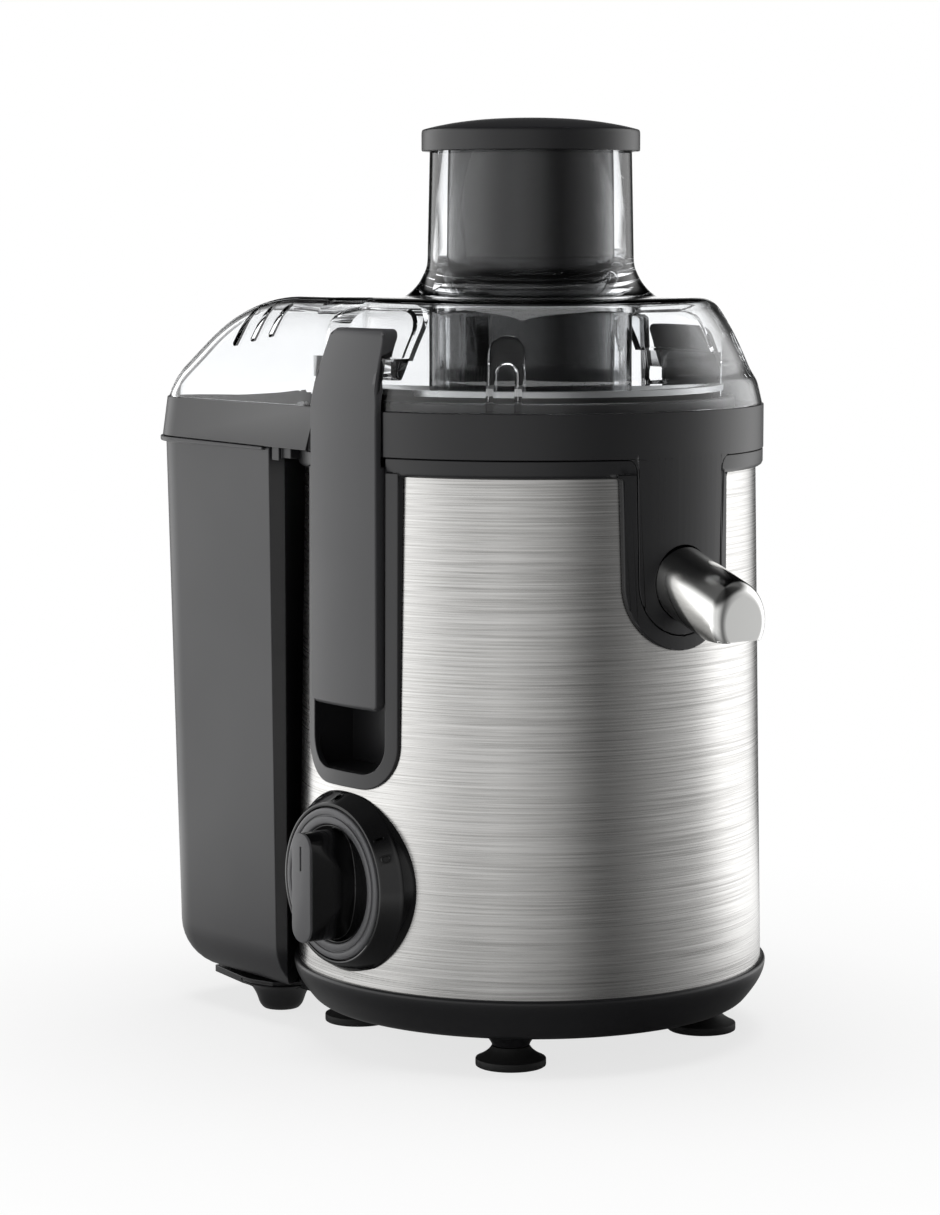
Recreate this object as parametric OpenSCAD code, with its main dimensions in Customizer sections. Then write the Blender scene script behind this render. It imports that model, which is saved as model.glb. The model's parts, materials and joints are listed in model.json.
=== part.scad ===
// Centrifugal juicer: a steel-clad motor base carries a black juice collector with a chrome spout.
// A spinning sieve basket turns inside the collector, under a clear lid with a wide feed chute.
// Pulp leaves through the lid's hood into a tall bin behind the base. Two side clamps hold the lid.
// Millimetres, +Z up. The spout faces -Y, the pulp bin +Y, the speed knob and one clamp -X.
// The origin lies on the ground under the middle of the whole juicer's box;
// the body's own axis stands at [axis_x, axis_y].

/* [Base and feet] */
// Height of the base pan's underside above the ground
base_z = 13.8; // [12:0.2:17]
// Height of the base pan
base_h = 16.4; // [14:0.2:22]
// How far the base pan stands out beyond the steel skin
base_lip = 2; // [1:0.25:4]
// Width of the flat rim that is lost to the pan's rounded lower edge
base_round = 10; // [6:0.5:14]
// Wall of the base pan
base_wall = 2.6; // [2:0.2:3.4]
// How far the feet's middles lie inside the base pan's edge
foot_in = 25.1; // [22:0.5:32]
// Radius of a rubber foot
foot_r = 13.6; // [10:0.2:15]
// Height of a foot's straight rim
foot_rim_h = 3; // [2:0.25:4]
// Height of a foot below its boss
foot_h = 7.9; // [7:0.1:9]
// Radius of a foot's neck
foot_neck_r = 7.3; // [6:0.1:8]
// Radius of the stem that plugs a foot into its boss
foot_stem_r = 3.6; // [3:0.1:4.5]

/* [Tray under the bin] */
// Thickness of the tray
tray_t = 4.5; // [3.5:0.25:5]
// How far the tray's front corners lie inside the bin's sides
tray_in = 15; // [12:0.5:22]
// How much narrower, on each side, the tray is at its rear
tray_taper = 5; // [0:0.5:8]
// Gap left on the ground under the tray's two stubs
stub_gap = 1.2; // [0.8:0.1:2]
// Radius of a tray stub at its lower end
stub_r = 9; // [7:0.5:11]

/* [Steel skin and housing] */
// Radius of the steel skin at its top edge
skin_r_top = 89; // [80:0.25:100]
// How much wider than its top the steel skin is at its bottom edge, in radius
skin_flare = 3.5; // [2:0.25:5]
// Height of the steel skin
skin_h = 196.2; // [190:1:204]
// Thickness of the steel skin
skin_t = 0.7; // [0.5:0.1:1]
// Wall of the plastic housing inside the skin
housing_wall = 2.5; // [2:0.1:3]

/* [Trim and slots] */
// Height of the trim ring between the steel skin and the collar
trim_h = 6.8; // [5:0.2:9]
// How far the trim's outer face stands out from the steel skin's top
trim_out = 3.4; // [3:0.1:4.5]
// Width of the trim's face round the clamp slots
trim_face = 6; // [4.5:0.25:7]
// Lip of the trim that reaches through the skin
trim_liner = 1.5; // [1:0.1:2]

/* [Collar and tongue] */
// How far the collar stands out from the steel skin's top
collar_out = 3; // [2.5:0.1:3.4]
// Height of the collar's face
collar_h = 17.3; // [14:0.5:20]
// Wall of the collar and the collector
collar_wall = 2.5; // [2:0.1:3]
// Depth of the tongue's round lower end's centre below the collar
tongue_drop = 46.9; // [45:0.1:49]
// Half width of the tongue that carries the spout
tongue_half_w = 20.2; // [18.5:0.1:22]
// How far the tongue widens towards its top, on each side
tongue_flare = 0.8; // [0:0.1:1.5]
// Width of the trim's face round the tongue
tongue_face = 5.6; // [4.5:0.2:6.5]

/* [Juice bowl] */
// Width of the pulp channel between the collar's face and the bowl
bowl_in = 11.5; // [11:0.25:13]
// Depth of the bowl's floor below the collar's top
bowl_depth = 72.3; // [70:0.5:74]
// How far the bowl's wall stands above the collar
bowl_rise = 3.2; // [2:0.2:4]
// Outer radius of the tube round the drive
hub_r = 25; // [23:0.5:27]

/* [Spout] */
// Outer radius of the spout
spout_r = 13.2; // [12.5:0.1:13.8]
// Reach of the spout's upright end face beyond the collar
spout_len = 33.2; // [30:0.2:38]
// Slope of the spout below level
spout_tilt = 20.6; // [16:0.2:24]
// Wall of the spout
spout_wall = 1.5; // [1.2:0.1:2]
// Rounding of the spout's closed end
spout_round = 4.4; // [3:0.2:5]
// Depth of the spout's axis below the collar, at the tongue
spout_drop = 47.3; // [45:0.1:49]
// Depth of the level mouth below the spout's axis at the tongue
mouth_drop = 19.3; // [17:0.1:21]

/* [Lid and chute] */
// Height of the lid above the collar
lid_h = 41.7; // [38:0.5:46]
// Wall of the lid
lid_wall = 2.4; // [2:0.1:3]
// Lean of the lid's side from the vertical
lid_slope = 25.6; // [22:0.2:28]
// Rounding of the lid's shoulder
lid_round = 11; // [8:0.5:13]
// Bore radius of the feed chute
chute_bore_r = 38; // [35:0.25:39]
// Wall of the chute at its foot
chute_wall = 2.6; // [2:0.1:4]
// Wall of the chute at its top
chute_top_wall = 1.7; // [1.5:0.1:2.4]
// Height of the chute above the lid
chute_h = 58.1; // [50:1:66]
// Fillet between the chute and the lid
chute_fillet = 12.5; // [9:0.5:15]
// Gap between the chute's lower end and the grater disc
chute_gap = 5; // [4:0.5:8]

/* [Pusher] */
// Clearance of the pusher in the chute
pusher_gap = 0.4; // [0.3:0.05:0.6]
// Wall of the pusher's cup
pusher_wall = 2.2; // [1.8:0.1:3]
// How far the pusher's cap stands out from the chute's top
cap_out = 3.2; // [2.5:0.1:5]
// Height of the cap's straight side
cap_side = 8.3; // [6:0.25:10]
// Rise of the cap's dome
cap_dome = 4.8; // [3:0.25:7]

/* [Sieve basket] */
// Clearance between the basket's rim and the bowl's wall
rim_gap = 1.6; // [1:0.2:3]
// Radius of the grater disc
grater_r = 46; // [44:0.5:48]
// Height of the basket from its floor to its rim
basket_h = 50; // [46:0.5:52]
// Thickness of the sieve's sheet
sieve_t = 1; // [0.8:0.1:1.4]

/* [Hood, band and bin] */
// How much narrower than the collar the band's lower edge is, on each side
bin_in = 3; // [1:0.25:4]
// Reach of the band's rear face behind the collar
bin_depth = 56.5; // [50:0.5:64]
// Radius of the bin's rear corners
bin_corner = 26; // [20:0.5:30]
// How far the band leans in at its rear, towards the top
band_lean = 4; // [2:0.25:6]
// Slope of the hood's rear ramp above level
ramp_slope = 34.2; // [30:0.2:40]
// Radius that blends the hood's ramp into its level top
ramp_round = 98; // [80:1:110]
// Rounding along the hood's side edges
hood_edge = 10; // [6:0.5:12]
// Inset of the bin's wall from its lip
bin_inset = 1.9; // [1.5:0.1:2.5]
// Draft of the bin's sides towards the bottom
bin_draft = 2.5; // [1.5:0.25:4]
// Draft of the bin's rear towards the bottom
bin_rear_draft = 5.4; // [3:0.2:7]
// Rounding of the bin's lower edge
bin_round = 20; // [14:1:22]
// Wall of the bin
bin_wall = 2; // [1.6:0.1:2.6]
// Gap between the bin and the body
bin_gap = 2.5; // [2:0.1:4]
// How far the bin's flat front lies inside the collar's rear
bin_overlap = 36; // [32:0.5:40]
// Height of the bin's lip
bin_lip_h = 2.3; // [2:0.1:3]

/* [Clamps] */
// Width of a clamp arm
arm_w = 42; // [38:0.5:43]
// Width of a clamp arm at its top
arm_top_w = 35.4; // [32:0.2:40]
// Thickness of a clamp arm's plate
arm_t = 4.5; // [4:0.1:5]
// How far an arm's face stands out from the collar
arm_proud = 1.6; // [1.2:0.1:2.4]
// Height of an arm's lower end above the slot's bottom
arm_rest = 24.8; // [20:0.4:28]
// Height of the slot's bottom above the steel skin's bottom edge
slot_z = 82; // [80:0.5:88]
// Rounding of the slot's lower corners
slot_round = 12; // [9:0.5:14]
// Depth of the finger hollow below the arm
hollow_depth = 20.5; // [19:0.25:21.5]
// Height of the pivot above an arm's lower end
pivot_up = 28; // [26:0.5:30]
// Radius of a clamp's pin
pin_r = 2; // [1.6:0.1:2.4]
// Height of an arm's tip below the lid's top
arm_tip_drop = 11; // [10.5:0.25:12]

/* [Knob] */
// Height of the knob's axis above the steel skin's bottom edge
knob_up = 38.8; // [38:0.2:40]
// Outer radius of the bezel
bezel_r = 36; // [34:0.25:36.5]
// Radius of the turning dial
dial_r = 29.3; // [27:0.1:30]
// Radius of the dial's dish
dish_r = 23; // [21.5:0.1:24]
// Reach of the dial's face beyond the skin's bottom radius
dial_proud = 6; // [5:0.25:7.5]
// Height of the grip above the dial's face
grip_h = 14.1; // [12:0.25:16]
// Length of the grip
grip_len = 42.4; // [38:0.2:43]
// Width of the grip's face
grip_w = 12; // [10:0.25:14]

/* [Motor] */
// Radius of the motor's shaft
shaft_r = 4; // [3.5:0.25:4.5]
// Radius of the armature
armature_r = 22; // [20:0.5:23]
// Height of the armature's laminated core
armature_h = 42; // [38:1:44]
// Air gap round the armature
air_gap = 0.6; // [0.4:0.1:1]
// Radius of the stator's core
stator_r = 44; // [42:0.5:47]
// Radius of the cooling fan
fan_r = 36; // [32:0.5:40]
// Number of fan blades
fan_blades = 9; // [7:1:11]
// Outer radius of a bearing
bearing_r = 11; // [10.5:0.25:12]
// Height of a bearing
bearing_h = 7; // [6:0.5:8]
// Radius of the drive coupling
coupling_r = 12; // [10.5:0.25:12.5]

/* [Hidden] */
$fn = 96;

// Clearances
gap = 0.3;         // between pieces of different bodies, and loose seats
snug = 0.2;        // between pieces that are fixed to each other
pin_gap = 0.05;    // a pin that turns in its bore
over = 1;          // how far a cut runs past a face

// Levels, from the ground up
skin_z = base_z + base_h;                      // bottom edge of the steel skin
skin_top_z = skin_z + skin_h;
trim_z = skin_top_z + snug;
collar_z = trim_z + trim_h + snug;             // seam under the collar
lid_z = collar_z + collar_h;                   // seam under the lid
lid_top_z = lid_z + lid_h;
chute_top_z = lid_top_z + chute_h;
bowl_floor_z = lid_z - bowl_depth;
deck_z = bowl_floor_z - collar_wall - 5.5;     // plate of the housing that the motor hangs from
deck_t = 3;
basket_z = bowl_floor_z + 29.5;                // underside of the grater disc
rim_z = basket_z + basket_h;
tube_z = basket_z + 1.5 + chute_gap;           // lower end of the chute
slot_bottom_z = skin_z + slot_z;
arm_z = slot_bottom_z + arm_rest;
arm_top_z = lid_top_z - arm_tip_drop;
pivot_z = arm_z + pivot_up;
knob_z = skin_z + knob_up;
spout_z = collar_z - spout_drop;
tongue_z = collar_z - tongue_drop;
tray_z = base_z - tray_t - 0.7;                // underside of the tray
band_z = collar_z + 1.5;                       // lower edge of the band over the bin

// Radii and reaches
skin_r_bottom = skin_r_top + skin_flare;
base_r = skin_r_bottom + base_lip;
foot_circle_r = base_r - foot_in;
trim_r = skin_r_top + trim_out;
collar_r = skin_r_top + collar_out;
bin_half_w = collar_r - bin_in;
bin_rear = collar_r + bin_depth;
bin_front = collar_r - bin_overlap;
tray_half_w = bin_half_w - tray_in;
bin_body_r = base_r + bin_gap;                 // hollow front of the bin, which clears the base
arm_x = collar_r + arm_proud;                  // outer face of a clamp arm
pivot_x = arm_x - 10.6;
hollow_x = arm_x - arm_t - hollow_depth + 2.4; // floor of the finger hollow
channel_x = arm_x - arm_t - 0.4;               // flat behind the arms, in collar and lid
slot_half_w = arm_w / 2 + 1.6;
channel_half_w = arm_w / 2 + 0.8;
dial_x = skin_r_bottom + dial_proud;           // face of the dial
grip_x = dial_x + grip_h;
bowl_r = collar_r - bowl_in;
chute_r = chute_bore_r + chute_wall;
chute_top_r = chute_bore_r + chute_top_wall;
cap_r = chute_top_r + cap_out;
bowl_in_r = bowl_r - collar_wall;
rim_r = bowl_in_r - rim_gap;
side_cut = collar_r - 52;                      // where the cuts for the clamp slots start, beside the axis
channel_floor_z = band_z + 0.1;
channel_floor_t = 2.2;

// The body's axis, placed so that the origin lies under the middle of the whole juicer
spout_reach = collar_r + spout_len;
axis_x = (grip_x - base_r) / 2;
axis_y = (spout_reach - bin_rear) / 2;

// Colours
black_abs = "#2e2e30";
grey_abs = "#5c5c5e";
gloss_black = "#161617";
steel = "#c9c9c8";
clear = [0.85, 0.88, 0.9, 0.35];
rubber = "#1c1c1d";
copper = "#b06a35";
core_grey = "#6f7276";

// ---------------------------------------------------------------- helpers

// Points of an arc, from angle a to angle b
function arc(c, r, a, b, n = 12) = [for (i = [0:n]) let (t = a + (b - a) * i / n) c + r * [cos(t), sin(t)]];

// Radius of the skin's outer surface at height z
function skin_r(z) = skin_r_bottom + (skin_r_top - skin_r_bottom) * (z - skin_z) / skin_h;

// Outline of a piece that closes round the rear: straight sides and two rounded rear corners
function rear_outline(half_w, front, rear, r) = concat(
    [[half_w, front]],
    arc([half_w - r, rear - r], r, 0, 90, 8),
    arc([r - half_w, rear - r], r, 90, 180, 8),
    [[-half_w, front]]);

// Half width of the tongue's outline at its top, grown by m
function tongue_top(m) = tongue_half_w + tongue_flare + m;

// Tongue outline in X and Z, grown by m: a round lower end about the spout, open at the top
function tongue_outline(m, top_z) = concat(
    arc([0, tongue_z], tongue_half_w + m, 180, 360, 24),
    [[tongue_top(m), trim_z], [tongue_top(m), top_z], [-tongue_top(m), top_z], [-tongue_top(m), trim_z]]);

// Clamp slot outline in Y and Z, grown by m: rounded lower corners, open at the top
function slot_outline(m, top_z) = let (w = slot_half_w + m, r = slot_round + m, z = slot_bottom_z - m) concat(
    arc([r - w, z + r], r, 180, 270, 10),
    arc([w - r, z + r], r, 270, 360, 10),
    [[w, top_z], [-w, top_z]]);

// Everything is drawn about the body's axis and moved into place once
module placed() translate([axis_x, axis_y, 0]) children();

// Extrudes an X-Z outline towards the spout side
module to_front(length) rotate([90, 0, 0]) linear_extrude(length) children();

// Extrudes a Y-Z outline towards +X from x = from
module to_side(from, length) translate([from, 0, 0]) rotate([90, 0, 90]) linear_extrude(length) children();

// Repeats a +X piece on the -X side
module both_sides() {
    children();
    mirror([1, 0, 0]) children();
}

module ring(r_out, r_in, h) difference() {
    cylinder(r = r_out, h = h);
    translate([0, 0, -over]) cylinder(r = r_in, h = h + 2 * over);
}

// Solid cone that follows the skin's outer surface, grown by m, from z = a to z = b
module skin_cone(m, a, b) translate([0, 0, a]) cylinder(r1 = skin_r(a) + m, r2 = skin_r(b) + m, h = b - a);

module slab(half_w, front, rear, r, z, t = 0.01)
    translate([0, 0, z]) linear_extrude(t) polygon(rear_outline(half_w, front, rear, r));

// Local frame of the spout: +Z runs out along it, +Y is its upper side
module spout_frame() translate([0, -collar_r, spout_z]) rotate([90 + spout_tilt, 0, 0]) children();

// Local frame of the knob: +Z runs out along its axis from the body's axis, +X points up
module knob_frame() translate([0, 0, knob_z]) rotate([0, -90, 0]) children();

module at_feet(quarter) rotate([0, 0, 45 + 90 * quarter]) translate([foot_circle_r, 0, 0]) children();

// ---------------------------------------------------------------- pusher

cap_z = chute_top_z - 1.6;                     // lower edge of the cap
cap_top_z = cap_z + cap_side;                  // where the cap's side turns into its dome
cap_edge = 1.6;                                // rounding of the cap's corner
cap_plate_z = chute_top_z + gap;               // underside of the cap's plate

module pusher_cap() {
    in_r = cap_r - cap_edge;
    dome_r = (in_r * in_r + cap_dome * cap_dome) / (2 * cap_dome);
    dome_a = asin(in_r / dome_r);
    color(black_abs) placed() rotate_extrude() polygon(concat(
        [[chute_bore_r - pusher_gap - pusher_wall - snug, cap_plate_z], [chute_top_r + 0.8, cap_plate_z],
         [chute_top_r + 0.8, cap_z], [cap_r, cap_z]],
        arc([in_r, cap_top_z - cap_edge], cap_edge, 0, 75, 4),
        arc([0, cap_top_z + cap_dome - dome_r], dome_r, 90 - dome_a, 90, 14),
        [[0, cap_plate_z + 2.4], [chute_bore_r - pusher_gap - pusher_wall - snug - 2, cap_plate_z + 2.4],
         [chute_bore_r - pusher_gap - pusher_wall - snug - 2, cap_plate_z - 4],
         [chute_bore_r - pusher_gap - pusher_wall - snug, cap_plate_z - 4]]));
}

module pusher_body() {
    r = chute_bore_r - pusher_gap;
    bottom = tube_z + 1;
    color(black_abs) placed() difference() {
        union() {
            translate([0, 0, bottom]) cylinder(r1 = r - 1.2, r2 = r, h = 1.5);
            translate([0, 0, bottom + 1.5]) cylinder(r = r, h = cap_plate_z - snug - bottom - 1.5);
        }
        translate([0, 0, bottom + 3]) cylinder(r = r - pusher_wall, h = chute_top_z);
    }
}

// ---------------------------------------------------------------- lid

lid_r = collar_r - 0.5;
lid_foot_h = 6.6;                              // steep lower part of the lid's side
lid_foot_in = 1.3;

// Outline of the round lid, shrunk by m, from its seam up to the chute's axis
function lid_outline(m) = let (
    top = lid_h - m, r0 = lid_r - m, r1 = lid_r - lid_foot_in - m,
    corner_r = r1 - (top - lid_foot_h) * tan(lid_slope),
    t = (lid_round - m) * tan((90 - lid_slope) / 2),
    c = [corner_r - t, top - (lid_round - m)])
    concat([[0, m > 0 ? -over : 0], [r0, m > 0 ? -over : 0], [r1, lid_foot_h]],
        arc(c, lid_round - m, lid_slope, 90, 8), [[0, top]]);

hood_front = 24;                               // front end of the hood, just behind the clamp arms
hood_half_w = bin_half_w - 1.2;
hood_side_lean = 4;                            // how far the hood's sides lean in over its height
hood_end = bin_rear - band_lean - 1.6;         // where the ramp meets the seam
ramp_foot_y = hood_end - (lid_h - ramp_round * (1 - cos(ramp_slope))) / tan(ramp_slope);
crest_y = ramp_foot_y - ramp_round * sin(ramp_slope);

// Height of the hood above the seam at y, shrunk by m
function hood_h(y, m) = y <= crest_y ? lid_h - m : y <= ramp_foot_y
    ? lid_h - ramp_round + sqrt(pow(ramp_round - m, 2) - pow(y - crest_y, 2))
    : (hood_end - y) * tan(ramp_slope) - m / cos(ramp_slope);

// Half width of the hood at y, with its rear corners rounded in plan, shrunk by m
function hood_w(y, m) = let (r = bin_corner - 1.2, c = hood_end + 0.6 - r)
    hood_half_w - m - (y <= c ? 0 : (r - m) - sqrt(max(pow(r - m, 2) - pow(y - c, 2), 0.01)));

// Upright section across the hood at y, shrunk by m
function hood_section(y, m, low) = let (h = hood_h(y, m), w = hood_w(y, m), r = min(hood_edge - m, h - 1),
    x = w - hood_side_lean * max(h - r, 0) / lid_h)
    concat([[-w, low], [w, low]], arc([x - r, h - r], r, 6, 90, 6), arc([r - x, h - r], r, 90, 174, 6));

// The hood over the bin, shrunk by m
module hood(m) {
    low = m > 0 ? -over : 0;
    last = hood_end - 4.4 - m / sin(ramp_slope);
    stations = concat([hood_front + m, crest_y], [for (i = [1:7]) crest_y + (ramp_foot_y - crest_y) * i / 7],
        [for (i = [1:4]) ramp_foot_y + (last - ramp_foot_y) * i / 4]);
    translate([0, 0, lid_z]) hull() {
        for (y = stations) translate([0, y, 0]) rotate([90, 0, 0]) linear_extrude(0.1)
            polygon(hood_section(y, m, low));
        translate([0, 0, low]) linear_extrude(0.1) polygon(rear_outline(hood_half_w - m, hood_front + 1 + m,
            hood_end + 0.3 - m / sin(ramp_slope), bin_corner - 1.2));
    }
}

// Slanted vent slots in the hood's sides
module hood_vents() for (i = [0:2])
    translate([bin_half_w - 7, bin_front + 0.5 + 11.5 * i, lid_top_z - 9.7 - 1.3 * i]) rotate([48, 0, 0])
        cube([20, 1.8, 14 + 3 * i], center = true);

// Ledge on the lid's side that a clamp hooks over
lug_z = arm_top_z - 11;                        // top of the ledge
lug_h = 8;
lug_x = channel_x - 1.2;

module lid() {
    color(clear) placed() {
        difference() {
            union() {
                difference() {
                    union() {
                        translate([0, 0, lid_z]) rotate_extrude() polygon(lid_outline(0));
                        hood(0);
                    }
                    both_sides() translate([channel_x, -channel_half_w, lid_z - over])
                        cube([20, 2 * channel_half_w, lug_z - lug_h - lid_z + over]);
                }
                both_sides() intersection() {
                    translate([lug_x - 20, -30, lug_z - lug_h]) cube([20, 60, lug_h]);
                    translate([0, 0, lug_z - lug_h]) cylinder(r = lug_x + 3.4, h = lug_h);
                }
                translate([0, 0, lid_top_z - 1]) rotate_extrude() polygon(concat(
                    [[0, 0], [chute_r + chute_fillet, 0], [chute_r + chute_fillet, 1]],
                    arc([chute_r + chute_fillet, 1 + chute_fillet], chute_fillet, 270, 180, 8),
                    [[chute_top_r, chute_h + 1], [0, chute_h + 1]]));
            }
            difference() {
                union() {
                    difference() {
                        translate([0, 0, lid_z]) rotate_extrude() polygon(lid_outline(lid_wall));
                        both_sides() translate([channel_x - lid_wall, -channel_half_w - lid_wall, lid_z - 2 * over])
                            cube([20, 2 * (channel_half_w + lid_wall), lug_z - lug_h - lid_z + 2 * over]);
                    }
                    hood(lid_wall);
                }
                cylinder(r = chute_r - 0.6, h = lid_top_z);
            }
            cylinder(r = chute_bore_r, h = chute_top_z + over);
            both_sides() hood_vents();
        }
        translate([0, 0, tube_z]) ring(chute_r - 0.6, chute_bore_r, lid_top_z - tube_z - lid_wall / 2);
        locating_skirt();
        for (a = [-45, 45]) rotate([0, 0, a]) guide_rib();
    }
}

// Short skirt that drops inside the collar; it stops where the hood begins and behind the clamps
module locating_skirt() difference() {
    translate([0, 0, lid_z - 4.5]) ring(collar_r - collar_wall - gap, collar_r - collar_wall - gap - 2.2, 6);
    translate([-collar_r, hood_front, lid_z - 10]) cube([2 * collar_r, collar_r, 20]);
    both_sides() translate([channel_x - 20, -channel_half_w - 3.2, lid_z - 10])
        cube([40, 2 * (channel_half_w + 3.2), 20]);
}

// Hollow arched rib inside the lid's front, which guides it onto the collar
module guide_rib() {
    rib_w = 13.5;
    y_out = lid_r - lid_foot_in - 2.2;
    difference() {
        intersection() {
            translate([0, 0, lid_z]) rotate_extrude() polygon(lid_outline(1));
            translate([-rib_w / 2, -y_out - 3, lid_z]) cube([rib_w, 10, 25]);
            translate([0, 0, lid_z + 18.2]) rotate([90, 0, 0]) hull() {
                cylinder(r = rib_w / 2, h = collar_r, $fn = 32);
                translate([0, -30, 0]) cylinder(r = rib_w / 2, h = collar_r, $fn = 32);
            }
        }
        translate([-rib_w / 2 + 2.4, -y_out - 5, lid_z - over]) cube([rib_w - 4.8, 9, 19]);
    }
}

// ---------------------------------------------------------------- basket and drive

cone_foot_r = grater_r + 1;
hub_out_r = hub_r + 3.2;
rim_t = 2.2;

// Conical sieve with a flat rim, a floor flange, and a hub that drops over the drive coupling
module filter_basket() {
    top_r = rim_r - 3.5;
    color(steel) placed() translate([0, 0, basket_z - 1.2]) rotate_extrude() polygon([
        [hub_out_r + snug, 0], [cone_foot_r, 0], [top_r, basket_h - rim_t + 1.2], [rim_r, basket_h - rim_t + 1.2],
        [rim_r, basket_h + 1.2], [top_r - sieve_t, basket_h + 1.2], [cone_foot_r - sieve_t - 0.6, 1],
        [hub_out_r + snug, 1]]);
}

// Moulded hub that carries the basket on a ledge: a skirt round the bowl's tube, and a sleeve on the coupling
module basket_hub() color(black_abs) placed() {
    translate([0, 0, basket_z - 13]) ring(hub_out_r, hub_r + 1.8, 12.8);
    translate([0, 0, basket_z - 2.4]) ring(hub_out_r + 2, hub_r + 2, 1);
    translate([0, 0, basket_z - 1.2]) ring(hub_r + 2, coupling_r + 2 + snug, 1);
    difference() {
        translate([0, 0, basket_z - 19]) ring(coupling_r + 5, coupling_r + snug, 18.2);
        coupling_ribs(snug, basket_z - 20, 20);
    }
}

// Ribs that carry the drive from the coupling into the basket's hub, grown by m
module coupling_ribs(m, z, h) for (a = [0:60:300]) rotate([0, 0, a])
    translate([coupling_r - 1, -1.5 - m, z]) cube([3 + m, 3 + 2 * m, h]);

// Toothed disc at the bottom of the basket
module grater_disc() {
    teeth_rows = 5;
    color(steel) placed() {
        translate([0, 0, basket_z]) ring(grater_r - 1, 7, 1.5);
        for (row = [0:teeth_rows - 1], k = [0:7 + 3 * row])
            rotate([0, 0, 360 * k / (8 + 3 * row) + 11 * row]) translate([15 + 6.2 * row, 0, basket_z + 1])
                cylinder(r1 = 1.3, r2 = 0.5, h = 1.9, $fn = 16);
    }
}

// Dome nut that holds the disc and the basket down on the coupling
module basket_nut() color(steel) placed() translate([0, 0, basket_z + 1.5]) {
    cylinder(r = 9, h = 1);
    cylinder(r = 6, h = 2.8);
}

coupling_z = deck_z + deck_t + 5;
coupling_top_z = basket_z - 1.2;

module drive_coupling() color(black_abs) placed() difference() {
    union() {
        translate([0, 0, coupling_z]) cylinder(r = coupling_r, h = coupling_top_z - coupling_z);
        translate([0, 0, coupling_z]) cylinder(r = coupling_r + 3, h = 3);
        coupling_ribs(0, coupling_z + 5, coupling_top_z - coupling_z - 5);
    }
    translate([0, 0, coupling_z - over]) cylinder(r = shaft_r + 0.05, h = shaft_top_z - coupling_z + over + snug);
}

// Lip seal in the housing's deck, round the shaft
module shaft_seal() color(rubber) placed() translate([0, 0, deck_z - 1]) {
    ring(12.8, 9, 4.5);
    ring(9.2, shaft_r + pin_gap, 1.6);
}

// ---------------------------------------------------------------- juice collector and spout

nozzle_r = spout_r - spout_wall - 0.08;
nozzle_bore = nozzle_r - 2.4;
nozzle_len = 13;
seal_at = 8;                                   // the O-ring's place along the nozzle
seal_wire = 0.85;
tongue_fillet = 5;

band_front = 30;                               // front end of the band, behind the clamp arms
band_slope = atan((band_z - collar_z) / (bin_rear - band_front));

// Tilts a piece about the band's rear lower edge at height z, as the band's lower edge drops to the front
module band_tilt(z) translate([0, bin_rear, z]) rotate([band_slope, 0, 0]) translate([0, -bin_rear, -z]) children();

// The band that widens the collar over the bin, shrunk by m
module band(m, low, high) hull() {
    band_tilt(low) slab(bin_half_w - m, band_front + m, bin_rear - m, bin_corner - m, low);
    slab(bin_half_w - 0.9 - m, band_front - 6 + m, bin_rear - band_lean - m, bin_corner - m, high);
}

module juice_collector() {
    floor_z = bowl_floor_z - collar_wall;
    color(black_abs) placed() {
        difference() {
            union() {
                translate([0, 0, collar_z]) cylinder(r = collar_r, h = collar_h);
                band(0, band_z, lid_z - 0.01);
                translate([0, 0, floor_z]) cylinder(r = bowl_r, h = lid_z + bowl_rise - floor_z);
                tongue();
                nozzle();
                both_sides() bin_catch();
            }
            // Pulp channel between the bowl and the collar, open to the band at the rear
            difference() {
                union() {
                    translate([0, 0, channel_floor_z + channel_floor_t])
                        cylinder(r = collar_r - collar_wall, h = lid_z);
                    band(collar_wall, band_z - 2 * over, lid_z + over);
                }
                translate([0, 0, collar_z - 4 * over])
                    cylinder(r = bin_body_r + 2.5, h = channel_floor_z + channel_floor_t - collar_z + 4 * over);
                translate([0, 0, floor_z]) cylinder(r = bowl_r, h = lid_z);
                both_sides() translate([channel_x - collar_wall, -channel_half_w - collar_wall, collar_z])
                    cube([20, 2 * (channel_half_w + collar_wall), collar_h + 2 * over]);
            }
            // Underside between the bowl and the collar's skirt
            translate([0, 0, collar_z - over]) ring(collar_r - collar_wall, bowl_r - 0.01, over + 0.4);
            // Inside of the bowl, with the tube round the drive left standing
            difference() {
                translate([0, 0, bowl_floor_z]) cylinder(r = bowl_in_r, h = lid_z);
                translate([0, 0, floor_z]) cylinder(r = hub_r, h = 24);
            }
            translate([0, 0, floor_z - over]) cylinder(r = hub_r - collar_wall, h = lid_z);
            spout_frame() translate([0, 0, -22]) cylinder(r = nozzle_bore, h = 60);
            both_sides() translate([channel_x, -channel_half_w, collar_z - over])
                cube([20, 2 * channel_half_w, collar_h + 2 * over]);
        }
    }
}

// Curved plate that hangs from the collar in front and closes the slot round the spout
module tongue() difference() {
    intersection() {
        translate([0, 0, spout_z - 40]) ring(collar_r, collar_r - collar_wall, collar_z + 41 - spout_z);
        to_front(collar_r + over) tongue_shape(0, collar_z + over);
    }
    spout_frame() translate([0, 0, -6]) cylinder(r = spout_r + gap, h = 12);
}

// The tongue's outline with its two fillets against the collar, grown by m
module tongue_shape(m, top_z) {
    polygon(tongue_outline(m, top_z));
    for (s = [-1, 1]) polygon(concat(
        [[s * tongue_top(-1), top_z], [s * tongue_top(-1), collar_z - tongue_fillet]],
        arc([s * tongue_top(tongue_fillet), collar_z - tongue_fillet], tongue_fillet - m,
            s > 0 ? 180 : 0, 90, 6),
        [[s * tongue_top(tongue_fillet), top_z]]));
}

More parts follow.
